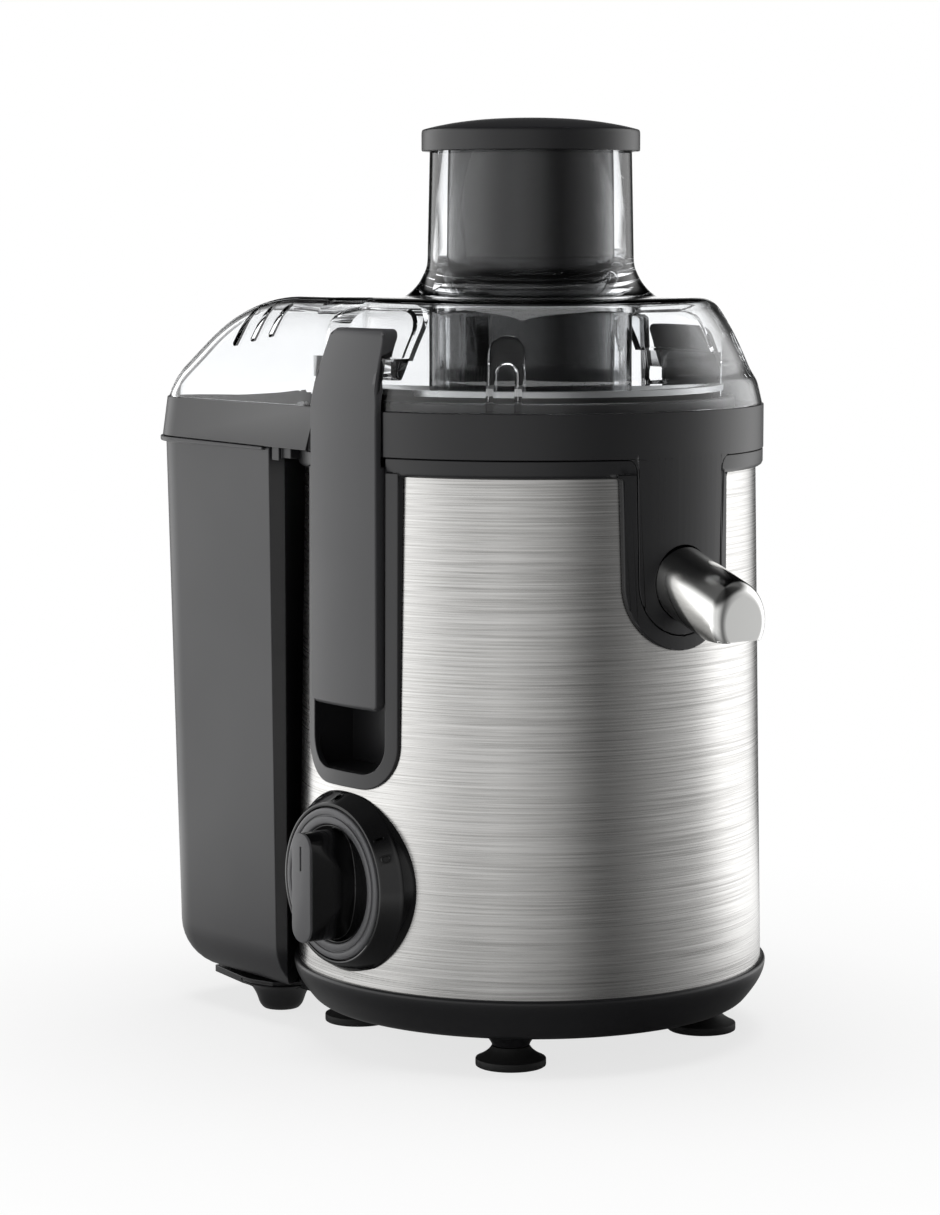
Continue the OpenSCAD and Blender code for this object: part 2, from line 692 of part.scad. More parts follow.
// Outlet tube that the spout turns on, with the socket round its root
module nozzle() {
    difference() {
        intersection() {
            spout_frame() translate([0, 0, -17]) cylinder(r = spout_r + gap + 2, h = 20);
            difference() {
                cylinder(r = collar_r - 0.3, h = lid_z);
                translate([0, 0, -over]) cylinder(r = bowl_in_r + 0.5, h = lid_z + 2 * over);
            }
        }
        spout_frame() translate([0, 0, -4.3]) cylinder(r = spout_r + gap, h = 20);
    }
    difference() {
        spout_frame() difference() {
            translate([0, 0, -6]) cylinder(r = nozzle_r, h = nozzle_len + 6);
            translate([0, 0, seal_at - 1]) ring(nozzle_r + over, nozzle_r - 2 * seal_wire - 0.02, 2);
        }
        cylinder(r = bowl_in_r, h = lid_z);
    }
}

// Block under the band that stops the bin's front edge
module bin_catch() difference() {
    translate([bin_half_w - 12, bin_front - 12, band_z - 5]) cube([8, 11, 6]);
    cylinder(r = collar_r + gap, h = collar_z + 0.6);
}

// Outside of the spout: a tilted tube whose closed end face stands upright, with a rounded edge
module spout_form() hull() {
    spout_frame() translate([0, 0, -4]) cylinder(r = spout_r, h = 8, $fn = 48);
    for (a = [0:18:90]) let (d = spout_len - spout_round * (1 - sin(a)), c = spout_round * (1 - cos(a)))
        translate([0, 0.05 - collar_r - d, spout_z - d * tan(spout_tilt)]) rotate([90, 0, 0])
            scale([spout_r - c, spout_r / cos(spout_tilt) - c, 1]) cylinder(r = 1, h = 0.05, $fn = 48);
}

// Bore of the spout with radius r, up to reach d beyond the collar
module spout_bore(r, d) intersection() {
    spout_frame() translate([0, 0, -5]) cylinder(r = r, h = 60);
    translate([-20, -collar_r - d, spout_z - 60]) cube([40, collar_r, 100]);
}

module spout() color("#dcdcdc") placed() difference() {
    spout_form();
    spout_bore(spout_r - spout_wall, spout_len - spout_round + 0.4);
    spout_bore(spout_r - spout_wall - 2.2, spout_len - spout_wall);
    // The level mouth, open to the underside
    translate([-2 * spout_r, -spout_reach - over, spout_z - mouth_drop - 30])
        cube([4 * spout_r, spout_reach, 30]);
}

module spout_seal() color(rubber) placed() spout_frame() translate([0, 0, seal_at])
    rotate_extrude() translate([nozzle_r - seal_wire, 0]) circle(r = seal_wire, $fn = 24);

// ---------------------------------------------------------------- clamps

// Side view of a clamp arm in X and Z: a flat plate whose top leans in and hooks over the lid's ledge
module arm_profile() {
    bend_z = lug_z - 14;
    top_x = arm_x - 7.8;
    polygon(concat(
        [[arm_x - arm_t, arm_z + 1.5], [arm_x - arm_t + 1.2, arm_z], [arm_x - 1.5, arm_z], [arm_x, arm_z + 1.5],
         [arm_x, bend_z - 6], [arm_x - 0.5, bend_z], [arm_x - 1.9, bend_z + 6]],
        arc([top_x - 3, arm_top_z - 3], 3, 15, 90, 4),
        [[arm_x - 17, arm_top_z - 0.6], [arm_x - 17, lug_z + gap], [arm_x - 5.8, lug_z + gap],
         [arm_x - 5.2, lug_z - 2], [arm_x - arm_t, bend_z]]));
}

// Face of a clamp arm in Y and Z: rounded corners, and sides that close in towards the top
function arm_face() = let (w = arm_w / 2, t = arm_top_w / 2, lean = atan((w - t) / (arm_top_z - lug_z + 18)))
    let (side = concat(arc([w - 3, arm_z + 3], 3, 270, 360, 4), [[w, lug_z - 18]],
        arc([t - 4, arm_top_z - 4], 4, lean, 90, 5)))
    concat(side, [for (i = [len(side) - 1:-1:0]) [-side[i][0], side[i][1]]]);

module clamp_arm() difference() {
    union() {
        difference() {
            intersection() {
                rotate([90, 0, 0]) linear_extrude(arm_w, center = true) arm_profile();
                to_side(arm_x - 30, 40) polygon(arm_face());
            }
            // The hook's inside follows the lid
            translate([0, 0, lid_z]) rotate_extrude() polygon(lid_outline(-gap));
        }
        translate([pivot_x, 0, pivot_z]) rotate([90, 0, 0]) cylinder(r = 4.4, h = arm_w - 1, center = true);
        // Webs that join the pivot's boss to the plate
        for (y = [-arm_w / 2 + 3, 0, arm_w / 2 - 3])
            translate([pivot_x, y - 1.25, pivot_z - 4]) cube([arm_x - 2 - pivot_x, 2.5, 8]);
    }
    translate([pivot_x, 0, pivot_z]) rotate([90, 0, 0]) cylinder(r = pin_r + pin_gap, h = arm_w + 2, center = true);
}

module clamp_pin() translate([pivot_x, 0, pivot_z]) rotate([90, 0, 0])
    cylinder(r = pin_r, h = 2 * (slot_half_w + housing_wall), center = true);

module clamp_left() color(grey_abs) placed() mirror([1, 0, 0]) clamp_arm();
module clamp_right() color(grey_abs) placed() clamp_arm();
module clamp_pin_left() color(steel) placed() mirror([1, 0, 0]) clamp_pin();
module clamp_pin_right() color(steel) placed() clamp_pin();

// ---------------------------------------------------------------- trim, skin and housing

// Ring under the collar with three frames that border the clamp slots and the tongue's slot
module trim_frame() {
    top_z = trim_z + trim_h;
    edge = 1.7;
    color(black_abs) placed() difference() {
        union() {
            translate([0, 0, trim_z]) rotate_extrude() polygon(concat(
                [[skin_r_top - 3.2, 0], [skin_r_top + 0.2, 0]],
                arc([collar_r - 0.2 - edge, edge], edge, 270, 360, 4),
                [[collar_r - 0.2, trim_h], [skin_r_top - 3.2, trim_h]]));
            difference() {
                intersection() {
                    translate([0, 0, skin_z]) cylinder(r = trim_r, h = top_z - skin_z);
                    union() {
                        both_sides() to_side(side_cut, 60) polygon(slot_outline(trim_face, top_z));
                        to_front(collar_r + 20) polygon(tongue_outline(gap + tongue_face, top_z));
                    }
                }
                skin_cone(0.15, skin_z - over, skin_top_z + snug);
                cylinder(r = skin_r_top, h = top_z + over);
            }
            difference() {
                intersection() {
                    translate([0, 0, skin_z]) cylinder(r = trim_r, h = top_z - skin_z);
                    union() {
                        both_sides() to_side(side_cut, 60) polygon(slot_outline(trim_liner, top_z));
                        to_front(collar_r + 20) polygon(tongue_outline(gap + trim_liner, top_z));
                    }
                }
                skin_cone(-skin_t - 0.1, skin_z - over, top_z + over);
            }
        }
        both_sides() to_side(side_cut, 60) polygon(slot_outline(0, top_z + over));
        to_front(collar_r + 20) tongue_shape(gap, top_z + over);
    }
}

module steel_skin() color(steel) placed() difference() {
    skin_cone(0, skin_z, skin_top_z);
    skin_cone(-skin_t, skin_z - over, skin_top_z + over);
    both_sides() to_side(side_cut, 60) polygon(slot_outline(trim_liner + snug, skin_top_z + 2 * over));
    to_front(collar_r + 20) polygon(tongue_outline(gap + trim_liner + snug, skin_top_z + 2 * over));
    knob_frame() cylinder(r = 14.3, h = 120);
}

shelf_z = pivot_z + 7;                         // top of the deep part of a clamp slot
shelf_x = channel_x - 4;                       // floor of the slot behind the arm, above the shelf
housing_m = skin_t + snug;                     // the housing's outer surface lies this far inside the skin's
housing_z = skin_z + snug;
housing_top_z = skin_top_z;

// Box that lines a clamp slot, shrunk by m
module slot_box(m) {
    w = slot_half_w + housing_wall - m;
    low = slot_bottom_z - housing_wall + m;
    translate([hollow_x - housing_wall + m, -w, low])
        cube([60, 2 * w, shelf_z + housing_wall - m - low]);
    translate([shelf_x - housing_wall + m, -w, low]) cube([60, 2 * w, housing_top_z + 10 - low]);
}

screw_circle_r = skin_r_bottom - 12;
screw_angles = [12, 102, 192, 258];

module inner_housing() color(black_abs) placed() {
    difference() {
        union() {
            difference() {
                skin_cone(-housing_m, housing_z, housing_top_z);
                skin_cone(-housing_m - housing_wall, housing_z - over, housing_top_z + over);
            }
            intersection() {
                skin_cone(-housing_m - 0.5, housing_z, housing_top_z);
                union() {
                    both_sides() slot_box(0);
                    translate([0, 0, deck_z]) cylinder(r = skin_r_bottom, h = deck_t);
                    for (a = screw_angles) rotate([0, 0, a]) translate([screw_circle_r, 0, housing_z]) {
                        cylinder(r = 5, h = 40);
                        translate([0, -2.5, 0]) cube([10, 5, 40]);
                    }
                }
            }
            translate([0, 0, deck_z - 4]) cylinder(r = 15.5, h = deck_t + 6);
        }
        both_sides() slot_box(housing_wall);
        both_sides() translate([pivot_x, 0, pivot_z]) rotate([90, 0, 0])
            cylinder(r = pin_r + pin_gap, h = 2 * (slot_half_w + housing_wall) + 0.02, center = true);
        to_front(collar_r + 20) polygon(tongue_outline(gap + 0.2, housing_top_z + 2 * over));
        knob_frame() translate([0, 0, side_cut]) cylinder(r = 14.3, h = 60);
        translate([0, 0, deck_z - 1]) cylinder(r = 13, h = 20);
        translate([0, 0, deck_z - 10]) cylinder(r = 9, h = 20);
        for (a = screw_angles) rotate([0, 0, a]) translate([screw_circle_r, 0, 0])
            cylinder(r = 1.7, h = housing_z + 16);
        at_mounts() translate([0, 0, deck_z - over]) cylinder(r = 2.2, h = deck_t + 2 * over);
    }
}

// ---------------------------------------------------------------- base

boss_r = foot_neck_r;
boss_gap = 0.3;

// Outline of the base pan's outside, shrunk by m, from its floor to its rim
function pan_outline(m) = let (r = base_r - m, z = base_z + m) [
    [0, z], [r - base_round, z], [r - base_round * 0.42, z + (base_h - m) * 0.32],
    [r - base_round * 0.1, z + (base_h - m) * 0.68], [r, base_z + base_h - 1.4],
    [r - base_lip, base_z + base_h], [0, base_z + base_h]];

module base_pan() color(black_abs) placed() difference() {
    union() {
        difference() {
            union() {
                rotate_extrude() polygon(pan_outline(0));
                tray();
                for (k = [0:3]) at_feet(k) translate([0, 0, foot_h + boss_gap])
                    cylinder(r1 = boss_r, r2 = boss_r + base_z - foot_h - boss_gap + 0.5,
                             h = base_z - foot_h - boss_gap + 0.5);
            }
            difference() {
                translate([0, 0, base_z + base_wall]) cylinder(r1 = base_r - base_round - base_wall + 1,
                    r2 = skin_r_bottom - base_wall - 1.5, h = base_h - base_wall + 0.01);
                for (k = [0:3]) at_feet(k) translate([0, 0, base_z]) cylinder(r = 8, h = 9);
                for (a = screw_angles) rotate([0, 0, a]) translate([screw_circle_r, 0, base_z])
                    cylinder(r = 5, h = base_h - 0.01);
            }
        }
    }
    for (k = [0:3]) at_feet(k) cylinder(r = foot_stem_r + pin_gap, h = base_z + 20);
    for (a = screw_angles) rotate([0, 0, a]) translate([screw_circle_r, 0, 0]) {
        cylinder(r = 2.1, h = 60);
        translate([0, 0, base_z - 8]) cylinder(r = 4.2, h = 12);
    }
    for (a = [0:30:330]) rotate([0, 0, a + 15]) translate([22, -1.5, base_z - over])
        cube([20, 3, base_wall + 2 * over]);
    gland_frame() cylinder(r = gland_r + snug, h = 60, center = true);
}

// Shelf behind the base that the bin stands on, with a curb in front of the bin and two stubs
module tray() {
    rear = bin_rear - bin_rear_draft - bin_round;
    stub_x = tray_half_w - 14;
    stub_y = bin_front + 32;
    difference() {
        union() {
            translate([0, 0, tray_z]) linear_extrude(tray_t) polygon([
                [-tray_half_w, bin_front], [tray_half_w, bin_front], [tray_half_w, stub_y + 6],
                [tray_half_w - tray_taper, rear], [tray_taper - tray_half_w, rear], [-tray_half_w, stub_y + 6]]);
            intersection() {
                translate([0, 0, tray_z]) cylinder(r = bin_body_r - 0.4, h = base_z + base_h - 3.5 - tray_z);
                translate([-tray_half_w, bin_front, 0]) cube([2 * tray_half_w, bin_rear, base_z + base_h]);
            }
            for (s = [-1, 1]) translate([s * stub_x, stub_y, stub_gap])
                cylinder(r1 = stub_r, r2 = stub_r + 4.5, h = tray_z - stub_gap + 0.5);
        }
        translate([0, 0, tray_z - over]) cylinder(r = base_r - base_round - 5, h = base_z - tray_z + over);
    }
}

module base_screws() color(steel) placed() for (a = screw_angles) rotate([0, 0, a])
    translate([screw_circle_r, 0, base_z + 1]) {
        cylinder(r = 3.6, h = 2.6);
        cylinder(r = 1.6, h = base_h + 12);
    }

gland_r = 6;
gland_angle = 24;
// Local frame of the cord's inlet: +Z points out through the base pan's side
module gland_frame() rotate([0, 0, gland_angle]) translate([base_r - 6, 0, base_z + base_h * 0.56]) rotate([0, 90, 0])
    children();

// Bush that lines the cord's inlet
module cord_gland() color(rubber) placed() difference() {
    gland_frame() union() {
        translate([0, 0, -2.5]) cylinder(r = gland_r, h = 9.5);
        translate([0, 0, 6.6]) cylinder(r = gland_r + 1, h = 1.4);
    }
    gland_frame() cylinder(r = 3.6, h = 60, center = true);
}

module foot(k) color(rubber) placed() at_feet(k) difference() {
    union() {
        cylinder(r = foot_r, h = foot_rim_h);
        translate([0, 0, foot_rim_h - 0.01]) cylinder(r1 = foot_r - 0.3, r2 = foot_neck_r, h = foot_h - foot_rim_h);
        cylinder(r = foot_stem_r, h = base_z + 12);
        translate([0, 0, base_z + 9.2]) cylinder(r = foot_stem_r + 1.4, h = 2.8);
    }
    translate([0, 0, -over]) cylinder(r = foot_r - 5, h = over + 1.2);
}

module foot_rear_right() foot(0);
module foot_rear_left() foot(1);
module foot_front_left() foot(2);
module foot_front_right() foot(3);

// ---------------------------------------------------------------- pulp bin

bin_z = tray_z + tray_t + gap;
bin_top_z = band_z - gap;

// The bin's body, shrunk by m: drafted sides and a rounded lower edge
module bin_body(m, top) {
    w0 = bin_half_w - bin_inset - m;
    w1 = w0 - bin_draft;
    y0 = bin_rear - bin_inset - m;
    y1 = y0 - bin_rear_draft;
    r = bin_round - m;
    hull() {
        slab(w0, bin_front + m, y0, bin_corner - m, top);
        for (a = [0:18:90]) slab(w1 - r * (1 - cos(a)), bin_front + m, y1 - r * (1 - cos(a)),
            max(bin_corner - m - r * (1 - cos(a)), 4), bin_z + m + r * (1 - sin(a)));
    }
}

module pulp_bin() color(grey_abs) placed() difference() {
    union() {
        bin_body(0, bin_top_z - 0.01);
        slab(bin_half_w, bin_front + 2, bin_rear, bin_corner, bin_top_z - bin_lip_h, bin_lip_h);
    }
    difference() {
        bin_body(bin_wall, bin_top_z + over);
        translate([0, 0, -over]) cylinder(r = bin_body_r + bin_wall, h = lid_z);
    }
    translate([0, 0, -over]) cylinder(r = bin_body_r, h = lid_z);
    // The rim follows the band's lower edge
    band_tilt(bin_top_z) translate([-bin_rear, 0, bin_top_z]) cube([2 * bin_rear, bin_rear + 10, 10]);
}

// ---------------------------------------------------------------- knob

dial_back_x = skin_r_bottom + 0.9;
grip_floor = dial_x - 4.6;
neck_x = skin_r_top - 19;                      // inner end of the bezel's neck

// Glossy ring round the dial, with a neck that passes into the housing
module knob_bezel() color(gloss_black) placed() difference() {
    knob_frame() rotate_extrude() polygon(concat(
        [[12, neck_x], [14, neck_x], [14, neck_x + 6], [bezel_r, neck_x + 6]],
        [[bezel_r, dial_x - 8.2]],
        arc([bezel_r - 1.4, dial_x - 8.2], 1.4, 0, 50, 3),
        arc([dial_r + 2, dial_x - 1.9], 1.2, 50, 90, 3),
        [[dial_r + gap, dial_x - 0.7], [dial_r + gap, dial_back_x - gap], [12, dial_back_x - gap]]));
    difference() {
        skin_cone(0.15, skin_z - over, skin_top_z);
        knob_frame() cylinder(r = 14, h = 120);
    }
}

// Grey ring that turns with the grip
module knob_dial() color(grey_abs) placed() knob_frame() rotate_extrude() polygon([
    [dish_r + 0.1, dial_back_x], [dial_r, dial_back_x], [dial_r, dial_x - 0.8], [dial_r - 0.8, dial_x],
    [dial_r - 2.6, dial_x], [dial_r - 2.9, dial_x - 0.6], [dial_r - 3.2, dial_x],
    [dish_r + 0.7, dial_x], [dish_r + 0.1, dial_x - 0.6]]);

// Bar that the fingers turn, rising from a dish
module knob_grip() color(gloss_black) placed() knob_frame() difference() {
    union() {
        difference() {
            translate([0, 0, dial_back_x]) cylinder(r = dish_r - 0.1, h = dial_x - 0.6 - dial_back_x);
            translate([0, 0, grip_floor]) cylinder(r1 = dish_r - 5, r2 = dish_r - 0.9, h = 5);
        }
        hull() {
            grip_end(1, grip_w / 2, grip_x - 1.3);
            grip_end(-1, grip_w / 2, grip_x - 1.3);
            translate([0, 0, grip_floor - 0.5]) scale([1.0, 1.0, 1.0]) linear_extrude(0.1)
                polygon(concat(arc([0, -24], 34, 52, 128, 10), arc([0, 24], 34, 232, 308, 10)));
        }
    }
    translate([0, 0, dial_back_x - over]) cylinder(r = 3.05, h = 10 + over);
}

// One round end of the grip's face
module grip_end(side, r, z) translate([side * (grip_len / 2 - r), 0, z]) cylinder(r = r, h = 0.1, $fn = 32);

// Grey inlay on the grip's face, with the pointer's groove
module knob_face() color(grey_abs) placed() knob_frame() translate([0, 0, grip_x - 1.2 + 0.1]) difference() {
    union() {
        for (s = [-1, 1]) translate([s * (grip_len / 2 - grip_w / 2), 0, 0]) cylinder(r = grip_w / 2, h = 1.1);
        translate([-(grip_len - grip_w) / 2, -grip_w / 2, 0]) cube([grip_len - grip_w, grip_w, 1.1]);
    }
    translate([grip_len / 2 - 16, -0.6, 0.5]) cube([12, 1.2, 2]);
}

module switch_shaft() color(steel) placed() knob_frame() translate([0, 0, neck_x - 14])
    cylinder(r = 3, h = dial_back_x + 23.5 - neck_x);

// Rotary switch behind the knob
module rotary_switch() color("#8a6d3b") placed() knob_frame() difference() {
    union() {
        translate([-13, -13, neck_x - 16]) cube([26, 26, 15.8]);
        translate([0, 0, neck_x - 1]) cylinder(r = 6, h = 6);
        for (k = [-1, 0, 1]) translate([9 * k - 1, -0.4, neck_x - 23]) cube([2, 0.8, 7.5]);
    }
    translate([0, 0, neck_x - 15]) cylinder(r = 3 + pin_gap, h = 40);
}

// ---------------------------------------------------------------- motor

bracket_t = 4;
upper_z = deck_z - 20;                         // underside of the upper bracket
core_top_z = upper_z - 14;
core_z = core_top_z - armature_h;
lower_z = core_z - 34;                         // underside of the lower bracket
shaft_z = lower_z - 22;
shaft_top_z = coupling_z + 18;
coil_r = armature_r + air_gap + 8;
screw_r = 2;
mount_r = 40;
stator_bolt = stator_r - 6;

module at_mounts() for (a = [45:90:315]) rotate([0, 0, a]) translate([mount_r, 0, 0]) children();

module at_bolts() for (s = [-1, 1]) translate([0, s * stator_bolt, 0]) children();

module motor_shaft() color(steel) placed() translate([0, 0, shaft_z]) cylinder(r = shaft_r, h = shaft_top_z - shaft_z);

// Laminated core with its winding ends
module armature() color(copper) placed() difference() {
    union() {
        translate([0, 0, core_z]) cylinder(r = armature_r, h = armature_h);
        translate([0, 0, core_z - 7]) cylinder(r1 = armature_r - 6, r2 = armature_r - 2, h = 7.01);
        translate([0, 0, core_top_z - 0.01]) cylinder(r1 = armature_r - 2, r2 = armature_r - 6, h = 6);
    }
    for (a = [0:30:330]) rotate([0, 0, a]) translate([armature_r - 1.2, -1, core_z - over])
        cube([3, 2, armature_h + 2 * over]);
    cylinder(r = shaft_r + 0.02, h = lid_z);
}

module commutator() color(copper) placed() translate([0, 0, core_z - 22]) difference() {
    cylinder(r = 11, h = 13);
    translate([0, 0, -over]) cylinder(r = shaft_r + 0.02, h = 20);
    for (a = [0:15:345]) rotate([0, 0, a]) translate([10.4, -0.3, -over]) cube([2, 0.6, 20]);
}

module cooling_fan() color(grey_abs) placed() translate([0, 0, shaft_z + 2]) difference() {
    union() {
        cylinder(r = 8, h = 12);
        cylinder(r = fan_r, h = 1.6);
        for (k = [0:fan_blades - 1]) rotate([0, 0, 360 * k / fan_blades]) translate([6, -0.8, 0])
            cube([fan_r - 7, 1.6, 11]);
    }
    translate([0, 0, -over]) cylinder(r = shaft_r + 0.02, h = 20);
}

module stator() color(core_grey) placed() translate([0, 0, core_z]) difference() {
    intersection() {
        cylinder(r = stator_r, h = armature_h);
        translate([-stator_r, -stator_r, 0]) cube([2 * stator_r, 2 * stator_r, armature_h]);
        translate([-coil_r - 8, -stator_r, 0]) cube([2 * coil_r + 16, 2 * stator_r, armature_h]);
    }
    translate([0, 0, -over]) cylinder(r = armature_r + air_gap, h = armature_h + 2 * over);
    coil_windows(0.25, -over, armature_h + 2 * over);
    at_bolts() translate([0, 0, -over]) cylinder(r = screw_r + pin_gap, h = armature_h + 2 * over);
}

// Windows in the stator that the coils pass through, grown by m
module coil_windows(m, z, h) for (s = [-1, 1]) translate([0, 0, z]) intersection() {
    ring(coil_r + m, armature_r + air_gap - 1, h);
    translate([s > 0 ? 0 : -coil_r - 2, -13 - m, 0]) cube([coil_r + 2, 26 + 2 * m, h]);
}

module field_coils() color(copper) placed() translate([0, 0, core_z]) difference() {
    union() {
        coil_windows(0, -8, armature_h + 16);
        translate([0, 0, -8]) ring(coil_r, armature_r + air_gap + 1, 7.6);
        translate([0, 0, armature_h + 0.4]) ring(coil_r, armature_r + air_gap + 1, 7.6);
    }
    translate([0, 0, -over - 10]) cylinder(r = armature_r + air_gap + 1, h = armature_h + 40);
}

// A bearing bracket: a hub, a cross bar over the bolts, and four arms for the rubber mounts
module bracket(with_arms) difference() {
    union() {
        cylinder(r = bearing_r + 3.5, h = bearing_h + 2.5);
        translate([-7, -stator_bolt - 6, 0]) cube([14, 2 * stator_bolt + 12, bracket_t]);
        if (with_arms) for (a = [45:90:315]) rotate([0, 0, a]) {
            translate([bearing_r + 1, -5, 0.4]) cube([mount_r - bearing_r - 1, 10, bracket_t - 0.8]);
            translate([mount_r, 0, 0]) cylinder(r = 7, h = bracket_t);
        }
    }
    translate([0, 0, 2.5]) cylinder(r = bearing_r + 0.02, h = bearing_h + over);
    translate([0, 0, -over]) cylinder(r = shaft_r + 1.5, h = 20);
    at_bolts() translate([0, 0, -over]) cylinder(r = screw_r + pin_gap, h = 20);
    if (with_arms) at_mounts() translate([0, 0, -over]) cylinder(r = 2.2, h = 20);
}

module upper_bracket() color(core_grey) placed() translate([0, 0, upper_z]) bracket(true);
module lower_bracket() color(core_grey) placed() translate([0, 0, lower_z]) bracket(false);

module bearing() ring(bearing_r, shaft_r + 0.02, bearing_h);
module upper_bearing() color(steel) placed() translate([0, 0, upper_z + 2.5]) bearing();
module lower_bearing() color(steel) placed() translate([0, 0, lower_z + 2.5]) bearing();

// Through bolts that clamp the brackets on the stator, with spacer sleeves
module motor_screws() color(steel) placed() at_bolts() {
    translate([0, 0, lower_z - 3]) cylinder(r = 3.8, h = 3);
    translate([0, 0, lower_z - 3]) cylinder(r = screw_r, h = upper_z + bracket_t + 5 - lower_z);
    translate([0, 0, lower_z + bracket_t + 0.05]) ring(4, screw_r - 0.1, core_z - lower_z - bracket_t - 0.1);
    translate([0, 0, core_top_z + 0.05]) ring(4, screw_r - 0.1, upper_z - core_top_z - 0.1);
}

// Rubber posts between the bracket and the deck, each with its screw's head on top
module rubber_mounts() color(rubber) placed() at_mounts() {
    translate([0, 0, upper_z + bracket_t]) cylinder(r = 6, h = deck_z - upper_z - bracket_t);
    translate([0, 0, upper_z - 2]) cylinder(r = 2, h = deck_z + deck_t + 2.5 - upper_z);
    translate([0, 0, deck_z + deck_t]) cylinder(r = 4.5, h = 1.6);
    translate([0, 0, upper_z - 2]) cylinder(r = 4.5, h = 2);
}

// Carbon brush in its holder, on a foot that reaches down to the lower bracket
module brush() {
    translate([11.3, -3, core_z - 19.5]) cube([13, 6, 7]);
    translate([15, -5, core_z - 21]) cube([11, 10, 10]);
    translate([21, -5, lower_z - 0.5]) cube([5, 10, core_z - 20 - lower_z + 0.5]);
    translate([5, -5, lower_z - 0.5 - 2]) cube([21, 10, 2.4]);
}
module brush_right() color("#4a3b2a") placed() difference() {
    brush();
    translate([0, 0, lower_z - over]) cylinder(r = bearing_r + 3.7, h = bearing_h + 5);
    translate([0, 0, lower_z - 5]) cylinder(r = shaft_r + 2, h = 8);
    translate([-7.2, -50, lower_z - 0.1]) cube([14.4, 100, bracket_t + 0.2]);
}
module brush_left() mirror_in_place() brush_right();

// Turns a placed piece half round the body's axis
module mirror_in_place() placed() rotate([0, 0, 180]) translate([-axis_x, -axis_y, 0]) children();

// Block where the leads from the cord, the switch and the motor meet
module wiring_block() color("#d8d4c4") placed() rotate([0, 0, 75]) difference() {
    translate([50, -9, base_z + base_wall]) cube([20, 18, 14]);
    for (y = [-4.5, 4.5]) translate([45, y, base_z + base_wall + 8]) rotate([0, 90, 0]) cylinder(r = 1.8, h = 30);
}

pusher_cap();
pusher_body();
lid();
filter_basket();
basket_hub();
grater_disc();
basket_nut();
juice_collector();
spout();
spout_seal();
clamp_left();
clamp_right();
clamp_pin_left();
clamp_pin_right();
trim_frame();
steel_skin();
inner_housing();
base_pan();
base_screws();
cord_gland();
foot_front_left();
foot_front_right();
foot_rear_left();
foot_rear_right();
pulp_bin();
knob_bezel();
knob_dial();
knob_grip();
knob_face();
switch_shaft();
rotary_switch();
drive_coupling();
shaft_seal();
motor_shaft();
armature();
commutator();
cooling_fan();
stator();
field_coils();
brush_left();
brush_right();
upper_bearing();
lower_bearing();
upper_bracket();
lower_bracket();
motor_screws();
rubber_mounts();
wiring_block();
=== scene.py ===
"""Centrifugal juicer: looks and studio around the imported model, in metres."""
import json
import math

import bpy
from mathutils import Matrix, Vector


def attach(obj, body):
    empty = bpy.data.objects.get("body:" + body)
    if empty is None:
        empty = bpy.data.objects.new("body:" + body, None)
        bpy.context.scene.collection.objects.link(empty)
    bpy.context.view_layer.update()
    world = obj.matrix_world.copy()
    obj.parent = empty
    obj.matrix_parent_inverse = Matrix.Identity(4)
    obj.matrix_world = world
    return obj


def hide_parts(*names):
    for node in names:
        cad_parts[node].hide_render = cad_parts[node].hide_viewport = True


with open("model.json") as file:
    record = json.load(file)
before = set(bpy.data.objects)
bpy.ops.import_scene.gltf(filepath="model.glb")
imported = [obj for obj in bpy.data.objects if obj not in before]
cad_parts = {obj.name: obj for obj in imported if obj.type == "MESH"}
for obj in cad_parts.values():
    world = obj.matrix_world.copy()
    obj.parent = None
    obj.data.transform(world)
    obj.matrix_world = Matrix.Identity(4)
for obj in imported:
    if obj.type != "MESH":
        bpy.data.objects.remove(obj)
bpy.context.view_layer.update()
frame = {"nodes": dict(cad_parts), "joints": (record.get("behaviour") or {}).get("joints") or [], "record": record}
MM = 0.001
joints = {j["name"]: j for j in frame["joints"]}
body_of = {n: b for b, ns in frame["record"]["behaviour"]["bodies"].items() for n in ns}
slot_of = {s["node"]: s["material_slot"] for s in frame["record"]["subparts"]}
AXIS = Vector(joints["rotor_spin"]["pos_m"][:2] + [0])


# ------------------------------------------------------------------ materials
def linear(hex_colour):
    """sRGB hex to Blender's linear colour, fully opaque."""
    parts = [int(hex_colour[i : i + 2], 16) / 255 for i in (1, 3, 5)]
    return [c / 12.92 if c <= 0.04045 else ((c + 0.055) / 1.055) ** 2.4 for c in parts] + [1.0]


def add(tree, kind, links=(), sockets=(), **settings):
    """Adds a node: settings are its properties, sockets its constants, links its inputs from other nodes."""
    made = tree.nodes.new(kind)
    for name, value in settings.items():
        setattr(made, name, value)
    for name, value in dict(sockets).items():
        made.inputs[name].default_value = value
    for name, (source, out) in dict(links).items():
        tree.links.new(source.outputs[out], made.inputs[name])
    return made


def new_material(name, colour, roughness, metallic=0.0, **more):
    """A Principled material with its constants set on the sockets; returns it, its tree and the shader."""
    made = bpy.data.materials.new(name)
    made.use_nodes = True
    tree = made.node_tree
    shader = tree.nodes["Principled BSDF"]
    shader.inputs["Base Color"].default_value = linear(colour)
    shader.inputs["Roughness"].default_value = roughness
    shader.inputs["Metallic"].default_value = metallic
    for socket, value in more.items():
        shader.inputs[socket.replace("_", " ")].default_value = value
    return made, tree, shader


